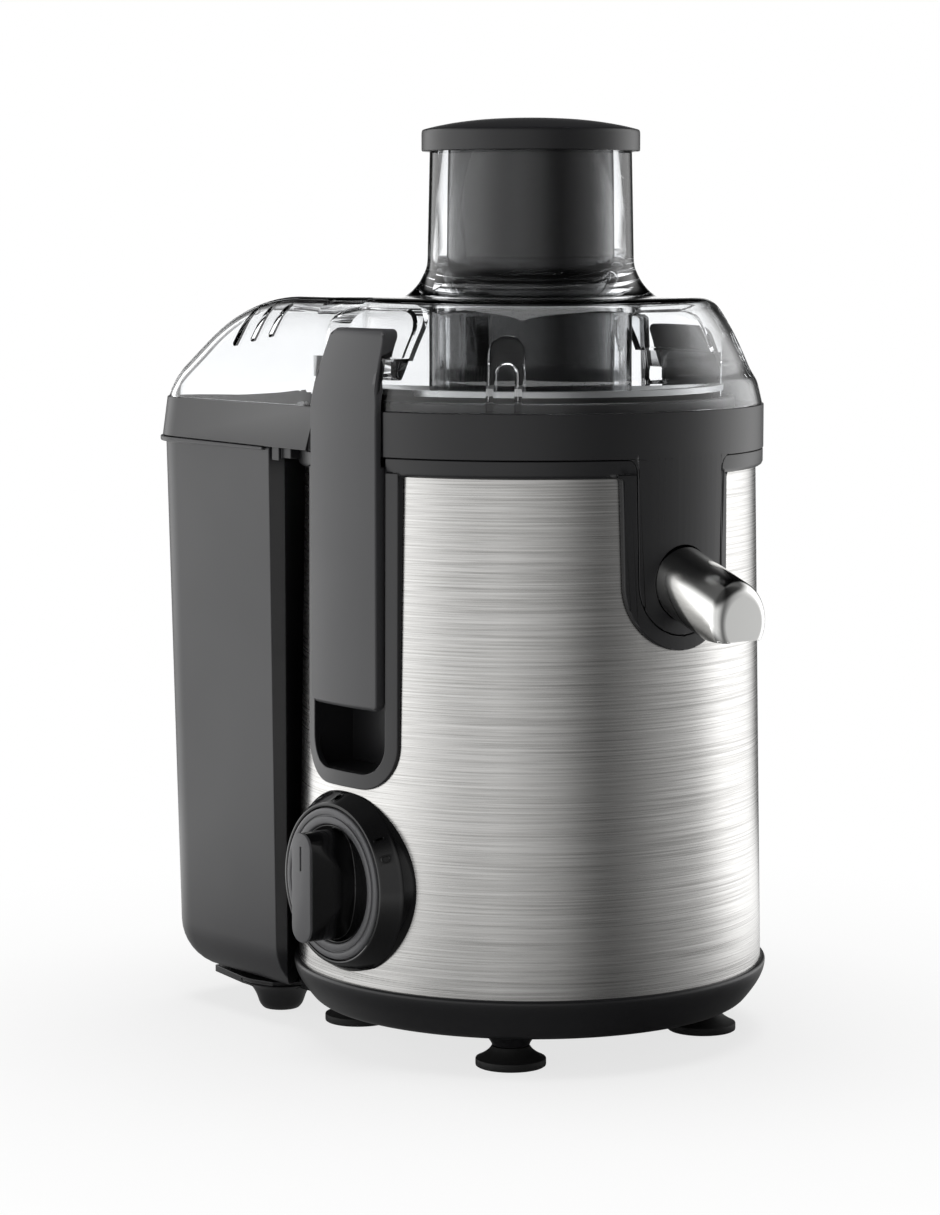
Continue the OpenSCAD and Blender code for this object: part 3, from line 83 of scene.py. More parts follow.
def grain(tree, shader, size_mm, depth_mm, roughness, spread):
    """Fine moulded or cast grain: a noise of the given grain size drives bump and a small change of roughness."""
    place = add(tree, "ShaderNodeTexCoord")
    noise = add(tree, "ShaderNodeTexNoise", {"Vector": (place, "Object")}, {"Scale": 1 / (size_mm * MM), "Detail": 3.0})
    bump = add(tree, "ShaderNodeBump", {"Height": (noise, "Fac")}, {"Strength": 0.35, "Distance": depth_mm * MM})
    tree.links.new(bump.outputs["Normal"], shader.inputs["Normal"])
    wide = add(tree, "ShaderNodeTexNoise", {"Vector": (place, "Object")}, {"Scale": 18.0, "Detail": 2.0})
    shine = add(tree, "ShaderNodeMapRange", {"Value": (wide, "Fac")},
                {"From Min": 0.3, "From Max": 0.7, "To Min": roughness - spread, "To Max": roughness + spread})
    tree.links.new(shine.outputs["Result"], shader.inputs["Roughness"])


def moulded(name, colour, roughness, size_mm=0.7, depth_mm=0.02, spread=0.03, **more):
    """A moulded plastic or rubber with its grain."""
    made, tree, shader = new_material(name, colour, roughness, **more)
    grain(tree, shader, size_mm, depth_mm, roughness, spread)
    return made


# Moulded ABS with a fine spark-eroded grain, dyed black: satin, with soft wide highlights
abs_black = moulded("satin_black_abs", "#1c1c1e", 0.36)
# The same plastic dyed graphite, on the clamps
abs_graphite = moulded("satin_graphite_abs", "#3c3c3e", 0.4)
# A satin grey inlay on the end of the knob's grip
face_grey = moulded("satin_grey_face", "#515153", 0.4)
# The clamps' graphite ABS, darkened on the bin as painted shade
graphite_with_painted_shade = moulded("satin_graphite_abs_painted_shade", "#313133", 0.42)
# Polished mould on the knob: black ABS that mirrors the studio
abs_gloss = moulded("gloss_black_abs", "#0d0d0e", 0.12, depth_mm=0.004, spread=0.02)
# Satin grey paint on the dial
dial_grey = moulded("satin_grey_dial", "#5c5c5e", 0.38)
# Moulded rubber: matt, nearly black
rubber = moulded("moulded_rubber", "#171717", 0.62, size_mm=0.5, depth_mm=0.03)


def metal(name, colour, roughness, size_mm=0.4, depth_mm=0.004, spread=0.04):
    """A bare or plated metal with the grain of how it was made."""
    return moulded(name, colour, roughness, size_mm, depth_mm, spread, metallic=1.0)


# The inner parts' metals: ground, cast, enamelled, laminated and etched
ground_steel = metal("ground_steel", "#bcbdbe", 0.28)
cast_alloy = metal("die_cast_aluminium", "#a9abad", 0.45, 1.2, 0.03)
copper_wire = metal("enamelled_copper", "#b0602c", 0.34, 0.6, 0.05)
core_iron = metal("laminated_core_iron", "#6d7074", 0.5, 0.5, 0.03)
sieve_steel = metal("etched_sieve_steel", "#c3c4c4", 0.3, 0.8, 0.05)
# Chrome over plastic on the spout: nearly a mirror, slightly softened
chrome = metal("chrome_plate", "#e6e6e4", 0.14, 2.0, 0.001, 0.015)
# Electrical plastics: the switch's body and the wiring block
phenolic = moulded("brown_phenolic", "#6a4a24", 0.5)
nylon = moulded("ivory_nylon", "#d6cfb4", 0.45)


def brushed_stainless():
    """Stainless sheet brushed along the girth: hair-fine level scratches, long around the body."""
    made, tree, shader = new_material("brushed_stainless", "#c9c8c6", 0.3, 1.0,
                                      Anisotropic=0.75, Anisotropic_Rotation=0.25)
    place = add(tree, "ShaderNodeTexCoord")
    centred = add(tree, "ShaderNodeVectorMath", {0: (place, "Object")}, {1: -AXIS}, operation="ADD")
    part = add(tree, "ShaderNodeSeparateXYZ", {"Vector": (centred, "Vector")})
    turn = add(tree, "ShaderNodeMath", {0: (part, "Y"), 1: (part, "X")}, operation="ARCTAN2")
    # The coarsest scratches are 1/1500 m high and 1/1.1 rad long, which is 0.7 mm by 84 mm; octaves add finer ones
    along = add(tree, "ShaderNodeMath", {0: (turn, "Value")}, {1: 1.1}, operation="MULTIPLY")
    across = add(tree, "ShaderNodeMath", {0: (part, "Z")}, {1: 1500.0}, operation="MULTIPLY")
    stretched = add(tree, "ShaderNodeCombineXYZ", {"X": (along, "Value"), "Z": (across, "Value")})
    hair = add(tree, "ShaderNodeTexNoise", {"Vector": (stretched, "Vector")},
               {"Scale": 1.0, "Detail": 4.0, "Roughness": 0.7})
    streak = add(tree, "ShaderNodeMapRange", {"Value": (hair, "Fac")}, {"From Min": 0.36, "From Max": 0.64})
    tone = add(tree, "ShaderNodeMix", {"Factor": (streak, "Result")}, {6: linear("#a8a7a5"), 7: linear("#e2e1df")},
               data_type="RGBA")
    tree.links.new(tone.outputs[2], shader.inputs["Base Color"])
    shine = add(tree, "ShaderNodeMapRange", {"Value": (hair, "Fac")},
                {"From Min": 0.3, "From Max": 0.7, "To Min": 0.22, "To Max": 0.36})
    tree.links.new(shine.outputs["Result"], shader.inputs["Roughness"])
    bump = add(tree, "ShaderNodeBump", {"Height": (hair, "Fac")}, {"Strength": 0.25, "Distance": 0.03 * MM})
    tree.links.new(bump.outputs["Normal"], shader.inputs["Normal"])
    tangent = add(tree, "ShaderNodeTangent", direction_type="RADIAL", axis="Z")
    tree.links.new(tangent.outputs["Tangent"], shader.inputs["Tangent"])
    return made


brushed = brushed_stainless()
# Clear SAN, as lids of juicers are moulded from: water-clear, glossy, a trace of grey
clear = new_material("clear_san", "#f6f7f8", 0.0, IOR=1.38, Transmission_Weight=1.0)[0]
# Polished mould on the pusher: the same black, but it mirrors soft panels
pusher_black = moulded("polished_black_abs", "#101012", 0.12, depth_mm=0.003, spread=0.02,
                       Specular_IOR_Level=0.25)
FINISH = {
    "black_abs": abs_black, "grey_abs": abs_graphite, "gloss_black": abs_gloss, "brushed_skin": brushed,
    "sieve_steel": sieve_steel, "spout_chrome": chrome, "clear_plastic": clear, "rubber": rubber,
    "fitting_steel": ground_steel, "winding_copper": copper_wire, "core_iron": core_iron,
    "bracket_alloy": cast_alloy, "switch_plastic": phenolic, "block_plastic": nylon,
}

for name, cad in frame["nodes"].items():
    cad.data.materials.clear()
    cad.data.materials.append(FINISH[slot_of[name]])


# ------------------------------------------------------------------ modelling helpers
def point_at(x, y, z):
    """A point in millimetres about the body's own axis."""
    return AXIS + Vector((x, y, z)) * MM


def select_only(piece):
    bpy.ops.object.select_all(action="DESELECT")
    piece.select_set(True)
    bpy.context.view_layer.objects.active = piece


def edit(piece):
    """Opens the piece in edit mode with all its points selected."""
    select_only(piece)
    bpy.ops.object.mode_set(mode="EDIT")
    bpy.ops.mesh.select_mode(type="VERT")
    bpy.ops.mesh.select_all(action="SELECT")


def draw(name, points):
    """A closed chain of edges drawn point by point; leaves the piece in edit mode with everything selected."""
    bpy.ops.object.select_all(action="DESELECT")
    bpy.ops.mesh.primitive_plane_add(size=MM, location=points[0])
    piece = bpy.context.object
    piece.name = name
    bpy.ops.object.transform_apply(location=True, rotation=False, scale=False)
    edit(piece)
    bpy.ops.mesh.merge(type="CENTER")
    for here, there in zip(points, points[1:] + points[:1]):
        bpy.ops.mesh.extrude_region_move(TRANSFORM_OT_translate={"value": there - here})
    bpy.ops.mesh.select_all(action="SELECT")
    bpy.ops.mesh.remove_doubles(threshold=1e-7)
    return piece


def closed_up(piece):
    """Merges doubled points, turns the faces outwards and leaves edit mode."""
    bpy.ops.mesh.select_all(action="SELECT")
    bpy.ops.mesh.remove_doubles(threshold=2e-6)
    bpy.ops.mesh.normals_make_consistent(inside=False)
    bpy.ops.object.mode_set(mode="OBJECT")
    return piece


def turned(name, profile, steps=192, lathe=None, angle=math.tau):
    """A closed profile of (radius, height) spun about the body's axis, or about another lathe's axis."""
    place, axis = lathe or (lambda r, h: point_at(r, 0, h), (0, 0, 1))
    piece = draw(name, [place(r, h) for r, h in profile])
    if angle < math.tau:
        bpy.ops.mesh.edge_face_add()
    bpy.ops.mesh.spin(steps=steps, angle=angle, center=place(0, 0), axis=axis)
    return closed_up(piece)


def rod(name, radius, low, high, steps=192, lathe=None):
    """A plain solid cylinder between two heights of a lathe."""
    return turned(name, [(0, low), (radius, low), (radius, high), (0, high)], steps, lathe)


def upright(x, y):
    """A lathe with an upright axis at a place in plan."""
    return lambda r, h: point_at(x + r, y, h), (0, 0, 1)


def prism(name, outline, low, high, along="Z"):
    """An outline drawn across X, Y or Z, or across a direction in plan in degrees, and extruded along it."""
    if along == "Y":
        place = lambda a, b, c: point_at(a, c, b)
    elif along == "Z":
        place = point_at
    else:
        turn = math.radians(0 if along == "X" else along)
        place = lambda a, b, c: point_at(c * math.cos(turn) - a * math.sin(turn),
                                         c * math.sin(turn) + a * math.cos(turn), b)
    piece = draw(name, [place(a, b, low) for a, b in outline])
    bpy.ops.mesh.edge_face_add()
    bpy.ops.mesh.extrude_region_move(TRANSFORM_OT_translate={"value": place(0, 0, high) - place(0, 0, low)})
    return closed_up(piece)


def block(name, x, y, z):
    """A box between the given ranges."""
    return prism(name, [(x[0], y[0]), (x[1], y[0]), (x[1], y[1]), (x[0], y[1])], z[0], z[1])


def side_block(name, turn, x, y, z):
    """A block at the given distances from the middle, on the right (turn 1) or on the left (turn -1)."""
    return block(name, sorted((turn * x[0], turn * x[1])), y, z)


def lofted(name, rings):
    """A closed skin over rings of points with the same count, capped at both ends."""
    count = len(rings[0])
    mesh = bpy.data.meshes.new(name)
    faces = [(count * k + i, count * k + (i + 1) % count, count * (k + 1) + (i + 1) % count, count * (k + 1) + i)
             for k in range(len(rings) - 1) for i in range(count)]
    ends = [tuple(range(count)), tuple(range(count * (len(rings) - 1), count * len(rings)))]
    mesh.from_pydata([p for ring in rings for p in ring], [], faces + ends)
    piece = bpy.data.objects.new(name, mesh)
    bpy.context.scene.collection.objects.link(piece)
    edit(piece)
    return closed_up(piece)


def combine(piece, other, operation, keep=False):
    """Adds, cuts or intersects a piece with another."""
    select_only(piece)
    change = piece.modifiers.new(operation.lower(), "BOOLEAN")
    change.operation = operation
    change.solver = "EXACT"
    change.object = other
    bpy.ops.object.modifier_apply(modifier=change.name)
    if not keep:
        bpy.data.objects.remove(other)
    return piece


def trim(piece, point, normal):
    """Cuts off what lies on the normal's side of a plane and closes the cut."""
    edit(piece)
    bpy.ops.mesh.bisect(plane_co=point, plane_no=normal, use_fill=True, clear_outer=True)
    return closed_up(piece)


def select_above(piece, height):
    """Opens the piece in edit mode with only the points above a height selected."""
    edit(piece)
    bpy.ops.mesh.select_all(action="DESELECT")
    bpy.ops.object.mode_set(mode="OBJECT")
    for vertex in piece.data.vertices:
        vertex.select = (vertex.co - AXIS).z / MM > height
    bpy.ops.object.mode_set(mode="EDIT")


def round_edges(piece, chosen, width, segments=8):
    """Bevels the sharp edges that chosen(a, b, normals) picks; a and b are the edge's ends about the body's axis."""
    mesh = piece.data
    faces = {}
    for face in mesh.polygons:
        for key in face.edge_keys:
            faces.setdefault(key, []).append(face.normal.copy())
    edit(piece)
    bpy.ops.mesh.select_mode(type="EDGE")
    bpy.ops.mesh.select_all(action="DESELECT")
    bpy.ops.object.mode_set(mode="OBJECT")
    for edge in mesh.edges:
        a, b = ((mesh.vertices[i].co - AXIS) / MM for i in edge.vertices)
        normals = faces.get(tuple(sorted(edge.vertices)), [])
        edge.select = len(normals) == 2 and normals[0].angle(normals[1], 0) > 0.3 and chosen(a, b, normals)
    bpy.ops.object.mode_set(mode="EDIT")
    bpy.ops.mesh.bevel(offset=width * MM, offset_type="OFFSET", segments=segments, profile=0.5, affect="EDGES")
    return closed_up(piece)


def arc(centre, radius, start, stop, count=8):
    """Points along an arc between two angles in degrees, both ends included."""
    return [(centre[0] + radius * math.cos(math.radians(start + (stop - start) * i / count)),
             centre[1] + radius * math.sin(math.radians(start + (stop - start) * i / count)))
            for i in range(count + 1)]


def mirrored(points):
    """The points and their mirror images across the first axis, as one closed outline."""
    return points + [(-a, b) for a, b in reversed(points)]


def smooth_line(points, steps=5):
    """More points along a curve that passes through the given ones."""
    line = []
    for i in range(len(points) - 1):
        p0, p1, p2, p3 = (points[max(0, min(len(points) - 1, k))] for k in (i - 1, i, i + 1, i + 2))
        for s in range(steps):
            t = s / steps
            line.append(tuple(0.5 * (2 * b + (c - a) * t + (2 * a - 5 * b + 4 * c - d) * t * t
                                     + (3 * b - a - 3 * c + d) * t ** 3) for a, b, c, d in zip(p0, p1, p2, p3)))
    return line + [points[-1]]


def finish(piece, material, body, node, bevel=0.0, angle=30):
    """Soft edges and smooth shading; the piece rides its body and stands for a CAD node."""
    select_only(piece)
    bpy.ops.object.shade_smooth_by_angle(angle=math.radians(angle))
    if bevel:
        edge = piece.modifiers.new("edge", "BEVEL")
        edge.width = bevel * MM
        edge.segments = 3
        edge.limit_method = "ANGLE"
        edge.angle_limit = math.radians(angle)
        edge.use_clamp_overlap = False
        edge.harden_normals = True
        bpy.ops.object.modifier_apply(modifier="edge")
    piece.data.materials.clear()
    piece.data.materials.append(material)
    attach(piece, body)
    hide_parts(node)
    return piece


# ------------------------------------------------------------------ sizes that several pieces share, in millimetres
SEAM = 250.9  # the lid stands on the collar here
ARM_SLOT = (-21.8, 21.8)  # the room for a clamp arm in the lid and the collar, in Y
CHANNEL_X = 88.7  # the bottom of that room, from the middle
COLLAR_R = 92.0
TONGUE_Z, TONGUE_R, TONGUE_HALF = 186.7, 20.2, 21  # the tongue's round lower end, and its half width above
BAND_HALF, BAND_REAR, BAND_CORNER = 89, 148.5, 26  # the band over the bin and the bin's lip under it, in plan
BAND_FALL = math.radians(0.73)  # the line between the band and the lip falls a little towards the front
FOOT_CIRCLE = 69.4
KNOB_Z = 69
KNOB_LATHE = (lambda r, h: point_at(-h, 0, KNOB_Z + r), (1, 0, 0))
SPOUT_Z, SPOUT_TILT = 186.3, math.radians(20.6)  # where the spout's axis leaves the collar, and how steeply it falls
SPOUT_LATHE = (lambda r, h: point_at(r, -COLLAR_R - h * math.cos(SPOUT_TILT), SPOUT_Z - h * math.sin(SPOUT_TILT)),
               (0, -math.cos(SPOUT_TILT), -math.sin(SPOUT_TILT)))


def foot_places():
    """The four feet in plan: rear right, rear left, front left, front right."""
    return [tuple(FOOT_CIRCLE * f(math.radians(45 + 90 * k)) for f in (math.cos, math.sin)) for k in range(4)]


# ------------------------------------------------------------------ lid
LID_TOP, CHUTE_TOP, LID_WALL = 292.6, 350.7, 2.4
CHUTE_IN, CHUTE_OUT = 38.2, 40  # the chute's radii
CREST_Y, BLEND, RAMP = 51.3, 98, 34.2  # where the hood starts to fall, on what radius, and to which slope in degrees
HOOD_END, HOOD_SIDE = 142.9, 87.8
RIB_IN = 75  # the guide ribs' inner edge, from the axis


def hood_block(inset):
    """The hood over the bin, drawn in by inset: a leaning box with round corners, cut by the ramp."""
    rear, side, lean = HOOD_END + 0.5 - inset, HOOD_SIDE - inset, 4 / 41.7
    across, ahead = 0.663, -0.748  # the front corners are cut off square to this direction
    made = block("hood", (-side - 3, side + 3), (10 + inset, rear), (226, LID_TOP + 4))
    for turn in (1, -1):
        trim(made, point_at(turn * side, 0, SEAM), (turn, 0, lean))
        trim(made, point_at(turn * (HOOD_SIDE - across * inset), 26 - ahead * inset, 0), (turn * across, ahead, 0))
    round_edges(made, lambda a, b, n: abs(a.x) > 80 and 15 < a.y < 35 and abs(a.z - b.z) > 20, 5, 6)
    round_edges(made, lambda a, b, n: min(a.y, b.y) > rear - 1 and abs(a.z - b.z) > 20, 24.8 - inset, 16)
    slope, top, bend = math.radians(RAMP), LID_TOP - inset, BLEND - inset
    line = [(0, top), (CREST_Y, top)]
    line += [(CREST_Y + bend * math.sin(slope * i / 14), top - bend * (1 - math.cos(slope * i / 14)))
             for i in range(1, 15)]
    y, z = line[-1]
    line += [(y + 120, z - 120 * math.tan(slope)), (y + 120, 330), (0, 330)]
    combine(made, prism("above", line, -120, 120, "X"), "DIFFERENCE")
    round_edges(made, lambda a, b, n: min(m.y for m in n) > -0.95 and max(m.z for m in n) > 0.6
                and min(m.z for m in n) < 0.3 and min(a.z, b.z) > 228, 10 - inset, 8)
    return trim(made, point_at(0, 0, SEAM if inset == 0 else SEAM - 1), (0, 0, -1))


def lid_core(inset):
    """The round lid's outside, drawn in by inset, as a plain solid."""
    points = [(90.8, 250), (89.2, 259.8), (86.5, 264.5), (82.5, 273.5), (78.5, 281.4), (75.3, 286.8),
              (71.4, 290.9), (67, 292.5)]
    return turned("core", [(0, 240), (91 - inset, 240)]
                  + smooth_line([(r - inset, z - inset * 0.35) for r, z in points], 3) + [(0, 292.5 - inset)])


def pocket(grow, depth):
    """Room for a clamp's tip in both sides of the lid, sunk by depth; grown outwards by grow."""
    corner = 9
    half, top = 22.4 + grow, 288 + grow
    shape = mirrored([(half, 270.6 - grow)] + arc((half - corner, top - corner), corner, 0, 90, 8))
    made = prism("pocket", shape, -100, 100, "X")
    return combine(made, lid_core(depth), "DIFFERENCE")


def build_lid():
    side = [(91.4, 251), (90.6, 254.6), (89.2, 259.8), (86.5, 264.5), (82.5, 273.5), (78.5, 281.4), (75.3, 286.8),
            (73.4, 289.3), (71.4, 290.9), (69.2, 292.0), (67, 292.5)]
    flare = [(52, 292.55), (49.6, 293), (47.4, 294.4), (45.5, 296.2), (43.7, 298.5), (42.4, 300.9), (41.2, 303.6),
             (40.7, 306.4), (40.6, 309.5)]
    lip = [(39.75, CHUTE_TOP - 1.1), (39.5, CHUTE_TOP - 0.35), (39.0, CHUTE_TOP), (38.5, CHUTE_TOP - 0.2),
           (CHUTE_IN, CHUTE_TOP - 0.8)]
    body = turned("lid", [(CHUTE_IN, 214.6), (CHUTE_OUT, 214.6), (CHUTE_OUT, SEAM), (91.5, SEAM)]
                  + smooth_line(side, 3) + smooth_line(flare, 3) + lip)
    combine(body, hood_block(0), "UNION")
    for turn in (1, -1):
        ledge = [(66, -26), (86.2, -26), (87.5, -24.7), (87.5, 24.7), (86.2, 26), (66, 26)]
        combine(body, prism("ledge", [(turn * x, y) for x, y in ledge], 262.6, 270.6), "UNION")
    inner = [(r - LID_WALL, z) for r, z in side[:3]] + [(84.3, 263.4), (80.3, 272.4), (76.4, 280.1), (73.3, 285.3),
                                                   (71.2, 288.0), (69.4, 289.5), (67, 290.1)]
    hollow = turned("hollow", [(CHUTE_OUT, 249.9), (89.1, 249.9)] + smooth_line(inner, 3)
                    + [(46, 290.1), (43.2, 289.6), (41.2, 288.2), (CHUTE_OUT, 285.5)])
    combine(hollow, hood_block(LID_WALL), "UNION")
    combine(hollow, rod("bore", CHUTE_OUT, 200, 320), "DIFFERENCE")
    for turn in (1, -1):
        combine(hollow, side_block("behind_arm", turn, (86.3, 120), (-24.2, 24.2), (240, 273)), "DIFFERENCE")
        combine(body, side_block("channel", turn, (CHANNEL_X, 120), ARM_SLOT, (240, 262.6)), "DIFFERENCE")
    combine(hollow, pocket(1.4, 4.2), "DIFFERENCE")
    # Three leaning vent slots in each flank of the hood, cut together with the hollow
    for i in range(3):
        y, z, half = 53.4 + 11.5 * i, LID_TOP - 9.7 - 1.3 * i, 6.4 + 0.9 * i
        dy, dz = -math.sin(math.radians(36)) * half, math.cos(math.radians(36)) * half
        slot = arc((y + dy, z + dz), 1.15, 36, 216, 6)[:-1] + arc((y - dy, z - dz), 1.15, 216, 396, 6)[:-1]
        combine(hollow, prism("vent", slot, -95, 95, "X"), "UNION")
    combine(body, hollow, "DIFFERENCE")
    combine(body, pocket(0, 2.2), "DIFFERENCE")
    # Arched guide ribs inside the lid's front, at the same angle on both sides of the spout
    limit = turned("limit", [(60, 249)] + [(r - 0.8, z) for r, z in side[:8]] + [(60, 288)])
    for middle in (-135.6, -44.4):
        arch = mirrored([(6.75, SEAM)] + arc((0, 272.4), 6.75, 0, 90, 8))
        rib = prism("rib", arch, RIB_IN, 92, middle)
        gap = prism("rib_gap", mirrored([(3.9, SEAM - 2)] + arc((0, 264), 3.9, 0, 90, 8)), 70, 100, middle)
        combine(rib, gap, "DIFFERENCE")
        round_edges(rib, lambda a, b, n: max(a.xy.length, b.xy.length) < RIB_IN + 0.5, 0.9, 4)
        combine(rib, limit, "INTERSECT", keep=True)
        combine(body, rib, "UNION")
    bpy.data.objects.remove(limit)
    return finish(body, clear, body_of["lid"], "lid", angle=28)


# ------------------------------------------------------------------ collar, tongue and band
def outline_rear(half, front, rear, corner):
    """Straight sides and two round rear corners, in plan."""
    return mirrored([(half, front)] + arc((half - corner, rear - corner), corner, 0, 90, 16)[:-1]
                    + [(half - corner, rear)])


def tongue_outline(grow, top):
    """The tongue in X and Z: a round lower end about the spout, open at the top."""
    half = TONGUE_HALF + grow
    low = arc((0, TONGUE_Z), TONGUE_R + grow, 180, 360, 40)
    return low + [(half, 226.6), (half, top), (-half, top), (-half, 226.6)]


def trim_outline(grow, corner, seam, top):
    """The tongue's outline with its flanks rounded outwards into the seam above, in X and Z."""
    half = TONGUE_HALF + grow
    return (arc((0, TONGUE_Z), TONGUE_R + grow, 180, 360, 40) + [(half, seam - corner)]
            + arc((half + corner, seam - corner), corner, 180, 90, 8)[1:]
            + [(half + corner, top), (-half - corner, top)]
            + arc((-half - corner, seam - corner), corner, 90, 0, 8))


def slot_outline(grow, top):
    """A clamp slot in Y and Z: rounded lower corners, open at the top."""
    half, corner, low = 22.6 + grow, 12 + grow, 112.2 - grow
    return (arc((corner - half, low + corner), corner, 180, 270, 12)
            + arc((half - corner, low + corner), corner, 270, 360, 12) + [(half, top), (-half, top)])


def build_collector():
    """The bowl, the collar round it, the band over the bin, and the tongue with the spout's nozzle."""
    collar, bowl = COLLAR_R, 80.5
    shell = turned("collector", [
        (bowl - 0.5, 178), (bowl, 178.6), (bowl, 253.4), (bowl - 0.6, 254.1), (bowl - 1.9, 254.1), (bowl - 2.5, 253.4),
        (bowl - 2.5, 180), (25, 178.6), (25, 200), (22.5, 200), (22.5, 176.1), (bowl - 1.5, 176.1)])
    skirt = turned("skirt", [(collar, 233.6), (collar, 250.9), (collar - 2.5, 250.9), (collar - 2.5, 237.4),
                             (bowl - 1, 237.4), (bowl - 1, 234.4), (collar - 2.5, 234.4), (collar - 2.5, 233.6)])
    band = prism("band", outline_rear(BAND_HALF, 30, BAND_REAR, BAND_CORNER), 228, 250.85)
    select_above(band, 245)
    bpy.ops.transform.resize(value=(88.1 / 89, 120.5 / 118.5, 1), center_override=point_at(0, 30, 0))
    bpy.ops.transform.translate(value=(0, -6 * MM, 0))
    bpy.ops.object.mode_set(mode="OBJECT")
    trim(band, point_at(0, BAND_REAR, 235.1), (0, math.sin(BAND_FALL), -math.cos(BAND_FALL)))
    combine(band, prism("inner", outline_rear(86.2, 32.5, 142.3, 23.6), 220, 270), "DIFFERENCE")
    for turn in (1, -1):
        combine(band, side_block("catch", turn, (77, 85), (44, 55), (229.5, 238)), "UNION")
        combine(band, side_block("catch_rib", turn, (84.6, 86.4), (50, 55), (228.5, 238)), "UNION")
    combine(band, rod("core", collar - 0.5, 200, 300), "DIFFERENCE")
    combine(shell, skirt, "UNION")
    # The pulp's way from the bowl into the bin
    passage = block("passage", (-85, 85), (60, 110), (239, 262))
    combine(passage, rod("bowl_wall", bowl, 230, 270), "DIFFERENCE")
    combine(shell, passage, "DIFFERENCE")
    combine(shell, band, "UNION")
    tongue = turned("tongue", [(collar, 160), (collar, 236), (collar - 2.5, 236), (collar - 2.5, 160)])
    combine(tongue, prism("tongue_shape", trim_outline(0, 5, 233.6, 236), -100, -60, "Y"), "INTERSECT")
    combine(tongue, rod("drill", 13.3, -12, 10, 96, SPOUT_LATHE), "DIFFERENCE")
    combine(shell, tongue, "UNION")
    # The nozzle carries the spout and the groove for its O-ring, and opens into the bowl
    nozzle = turned("nozzle", [(0, -24), (11.6, -24), (11.6, 7), (9.9, 7), (9.9, 9), (11.6, 9), (11.6, 12.6),
                               (11.2, 13), (0, 13)], 96, SPOUT_LATHE)
    combine(nozzle, rod("bowl_inside", bowl - 1.5, 150, 240), "DIFFERENCE")
    combine(shell, nozzle, "UNION")
    combine(shell, rod("outlet", 9.2, -24, 30, 96, SPOUT_LATHE), "DIFFERENCE")
    for turn in (1, -1):
        combine(shell, side_block("channel", turn, (CHANNEL_X, 100), ARM_SLOT, (225, 260)), "DIFFERENCE")
    return finish(shell, abs_black, "base", "juice_collector", bevel=0.45, angle=35)


# ------------------------------------------------------------------ trim ring, frames and steel skin
SKIN_LOW, SKIN_HEIGHT = 30.2, 196.2


def skin_radius(z, grow=0.0):
    """The steel skin's outer radius at a height: it narrows by 3.5 mm from its lower edge to its top."""
    return 92.5 - 3.5 * (z - SKIN_LOW) / SKIN_HEIGHT + grow


def build_trim():
    """The ring under the collar, the frames that lie on the steel, and the liners of the slots behind them."""
    ring = turned("trim", [(85.8, 226.6), (89.2, 226.6), (90.4, 226.7), (91.3, 227.3), (91.8, 228.4), (91.8, 233.4),
                           (85.8, 233.4)])
    frames = turned("frames", [(92.4, 100), (91.8, 222), (91.8, 228),
                               (skin_radius(228, 0.15), 228), (skin_radius(100, 0.15), 100)])
    borders = prism("borders", slot_outline(6, 240), -120, 120, "X")
    combine(borders, prism("front", trim_outline(5.9, 2, 226.8, 240), -120, -40, "Y"), "UNION")
    combine(frames, borders, "INTERSECT")
    # The frame's right flank lies lower, close over the steel
    away = turned("away", [(skin_radius(120, 1.1), 120), (skin_radius(228, 1.1), 228.1), (110, 228.1), (110, 120)])
    combine(away, block("flank", (21.5, 60), (-120, -40), (100, 240)), "INTERSECT")
    combine(frames, away, "DIFFERENCE")
    combine(ring, frames, "UNION")
    liner = turned("liner", [(91.4, 100), (91.4, 228), (skin_radius(228, -1.2), 228), (skin_radius(100, -1.2), 100)])
    borders = prism("borders", slot_outline(1.5, 240), -120, 120, "X")
    combine(borders, prism("front", tongue_outline(1.8, 240), -120, -40, "Y"), "UNION")
    combine(liner, borders, "INTERSECT")
    combine(ring, liner, "UNION")
    combine(ring, prism("slots", slot_outline(0, 245), -120, 120, "X"), "DIFFERENCE")
    combine(ring, prism("front", trim_outline(0.3, 5, 233.9, 245), -120, -40, "Y"), "DIFFERENCE")
    return finish(ring, abs_black, "base", "trim_frame", bevel=0.5, angle=35)


def build_skin():
    """The steel sheet round the body, with its openings for the slots, the tongue and the knob."""
    skin = turned("skin", [(skin_radius(z), z) for z in (30.2, 79, 128, 177, 226.4)]
                  + [(skin_radius(z, -0.7), z) for z in (226.4, 30.2)], 256)
    combine(skin, prism("slots", slot_outline(1.7, 245), -120, 120, "X"), "DIFFERENCE")
    combine(skin, prism("front", tongue_outline(2.0, 245), -120, -40, "Y"), "DIFFERENCE")
    combine(skin, rod("hole", 14.3, 60, 120, 96, KNOB_LATHE), "DIFFERENCE")
    return finish(skin, brushed, "base", "steel_skin", angle=35)


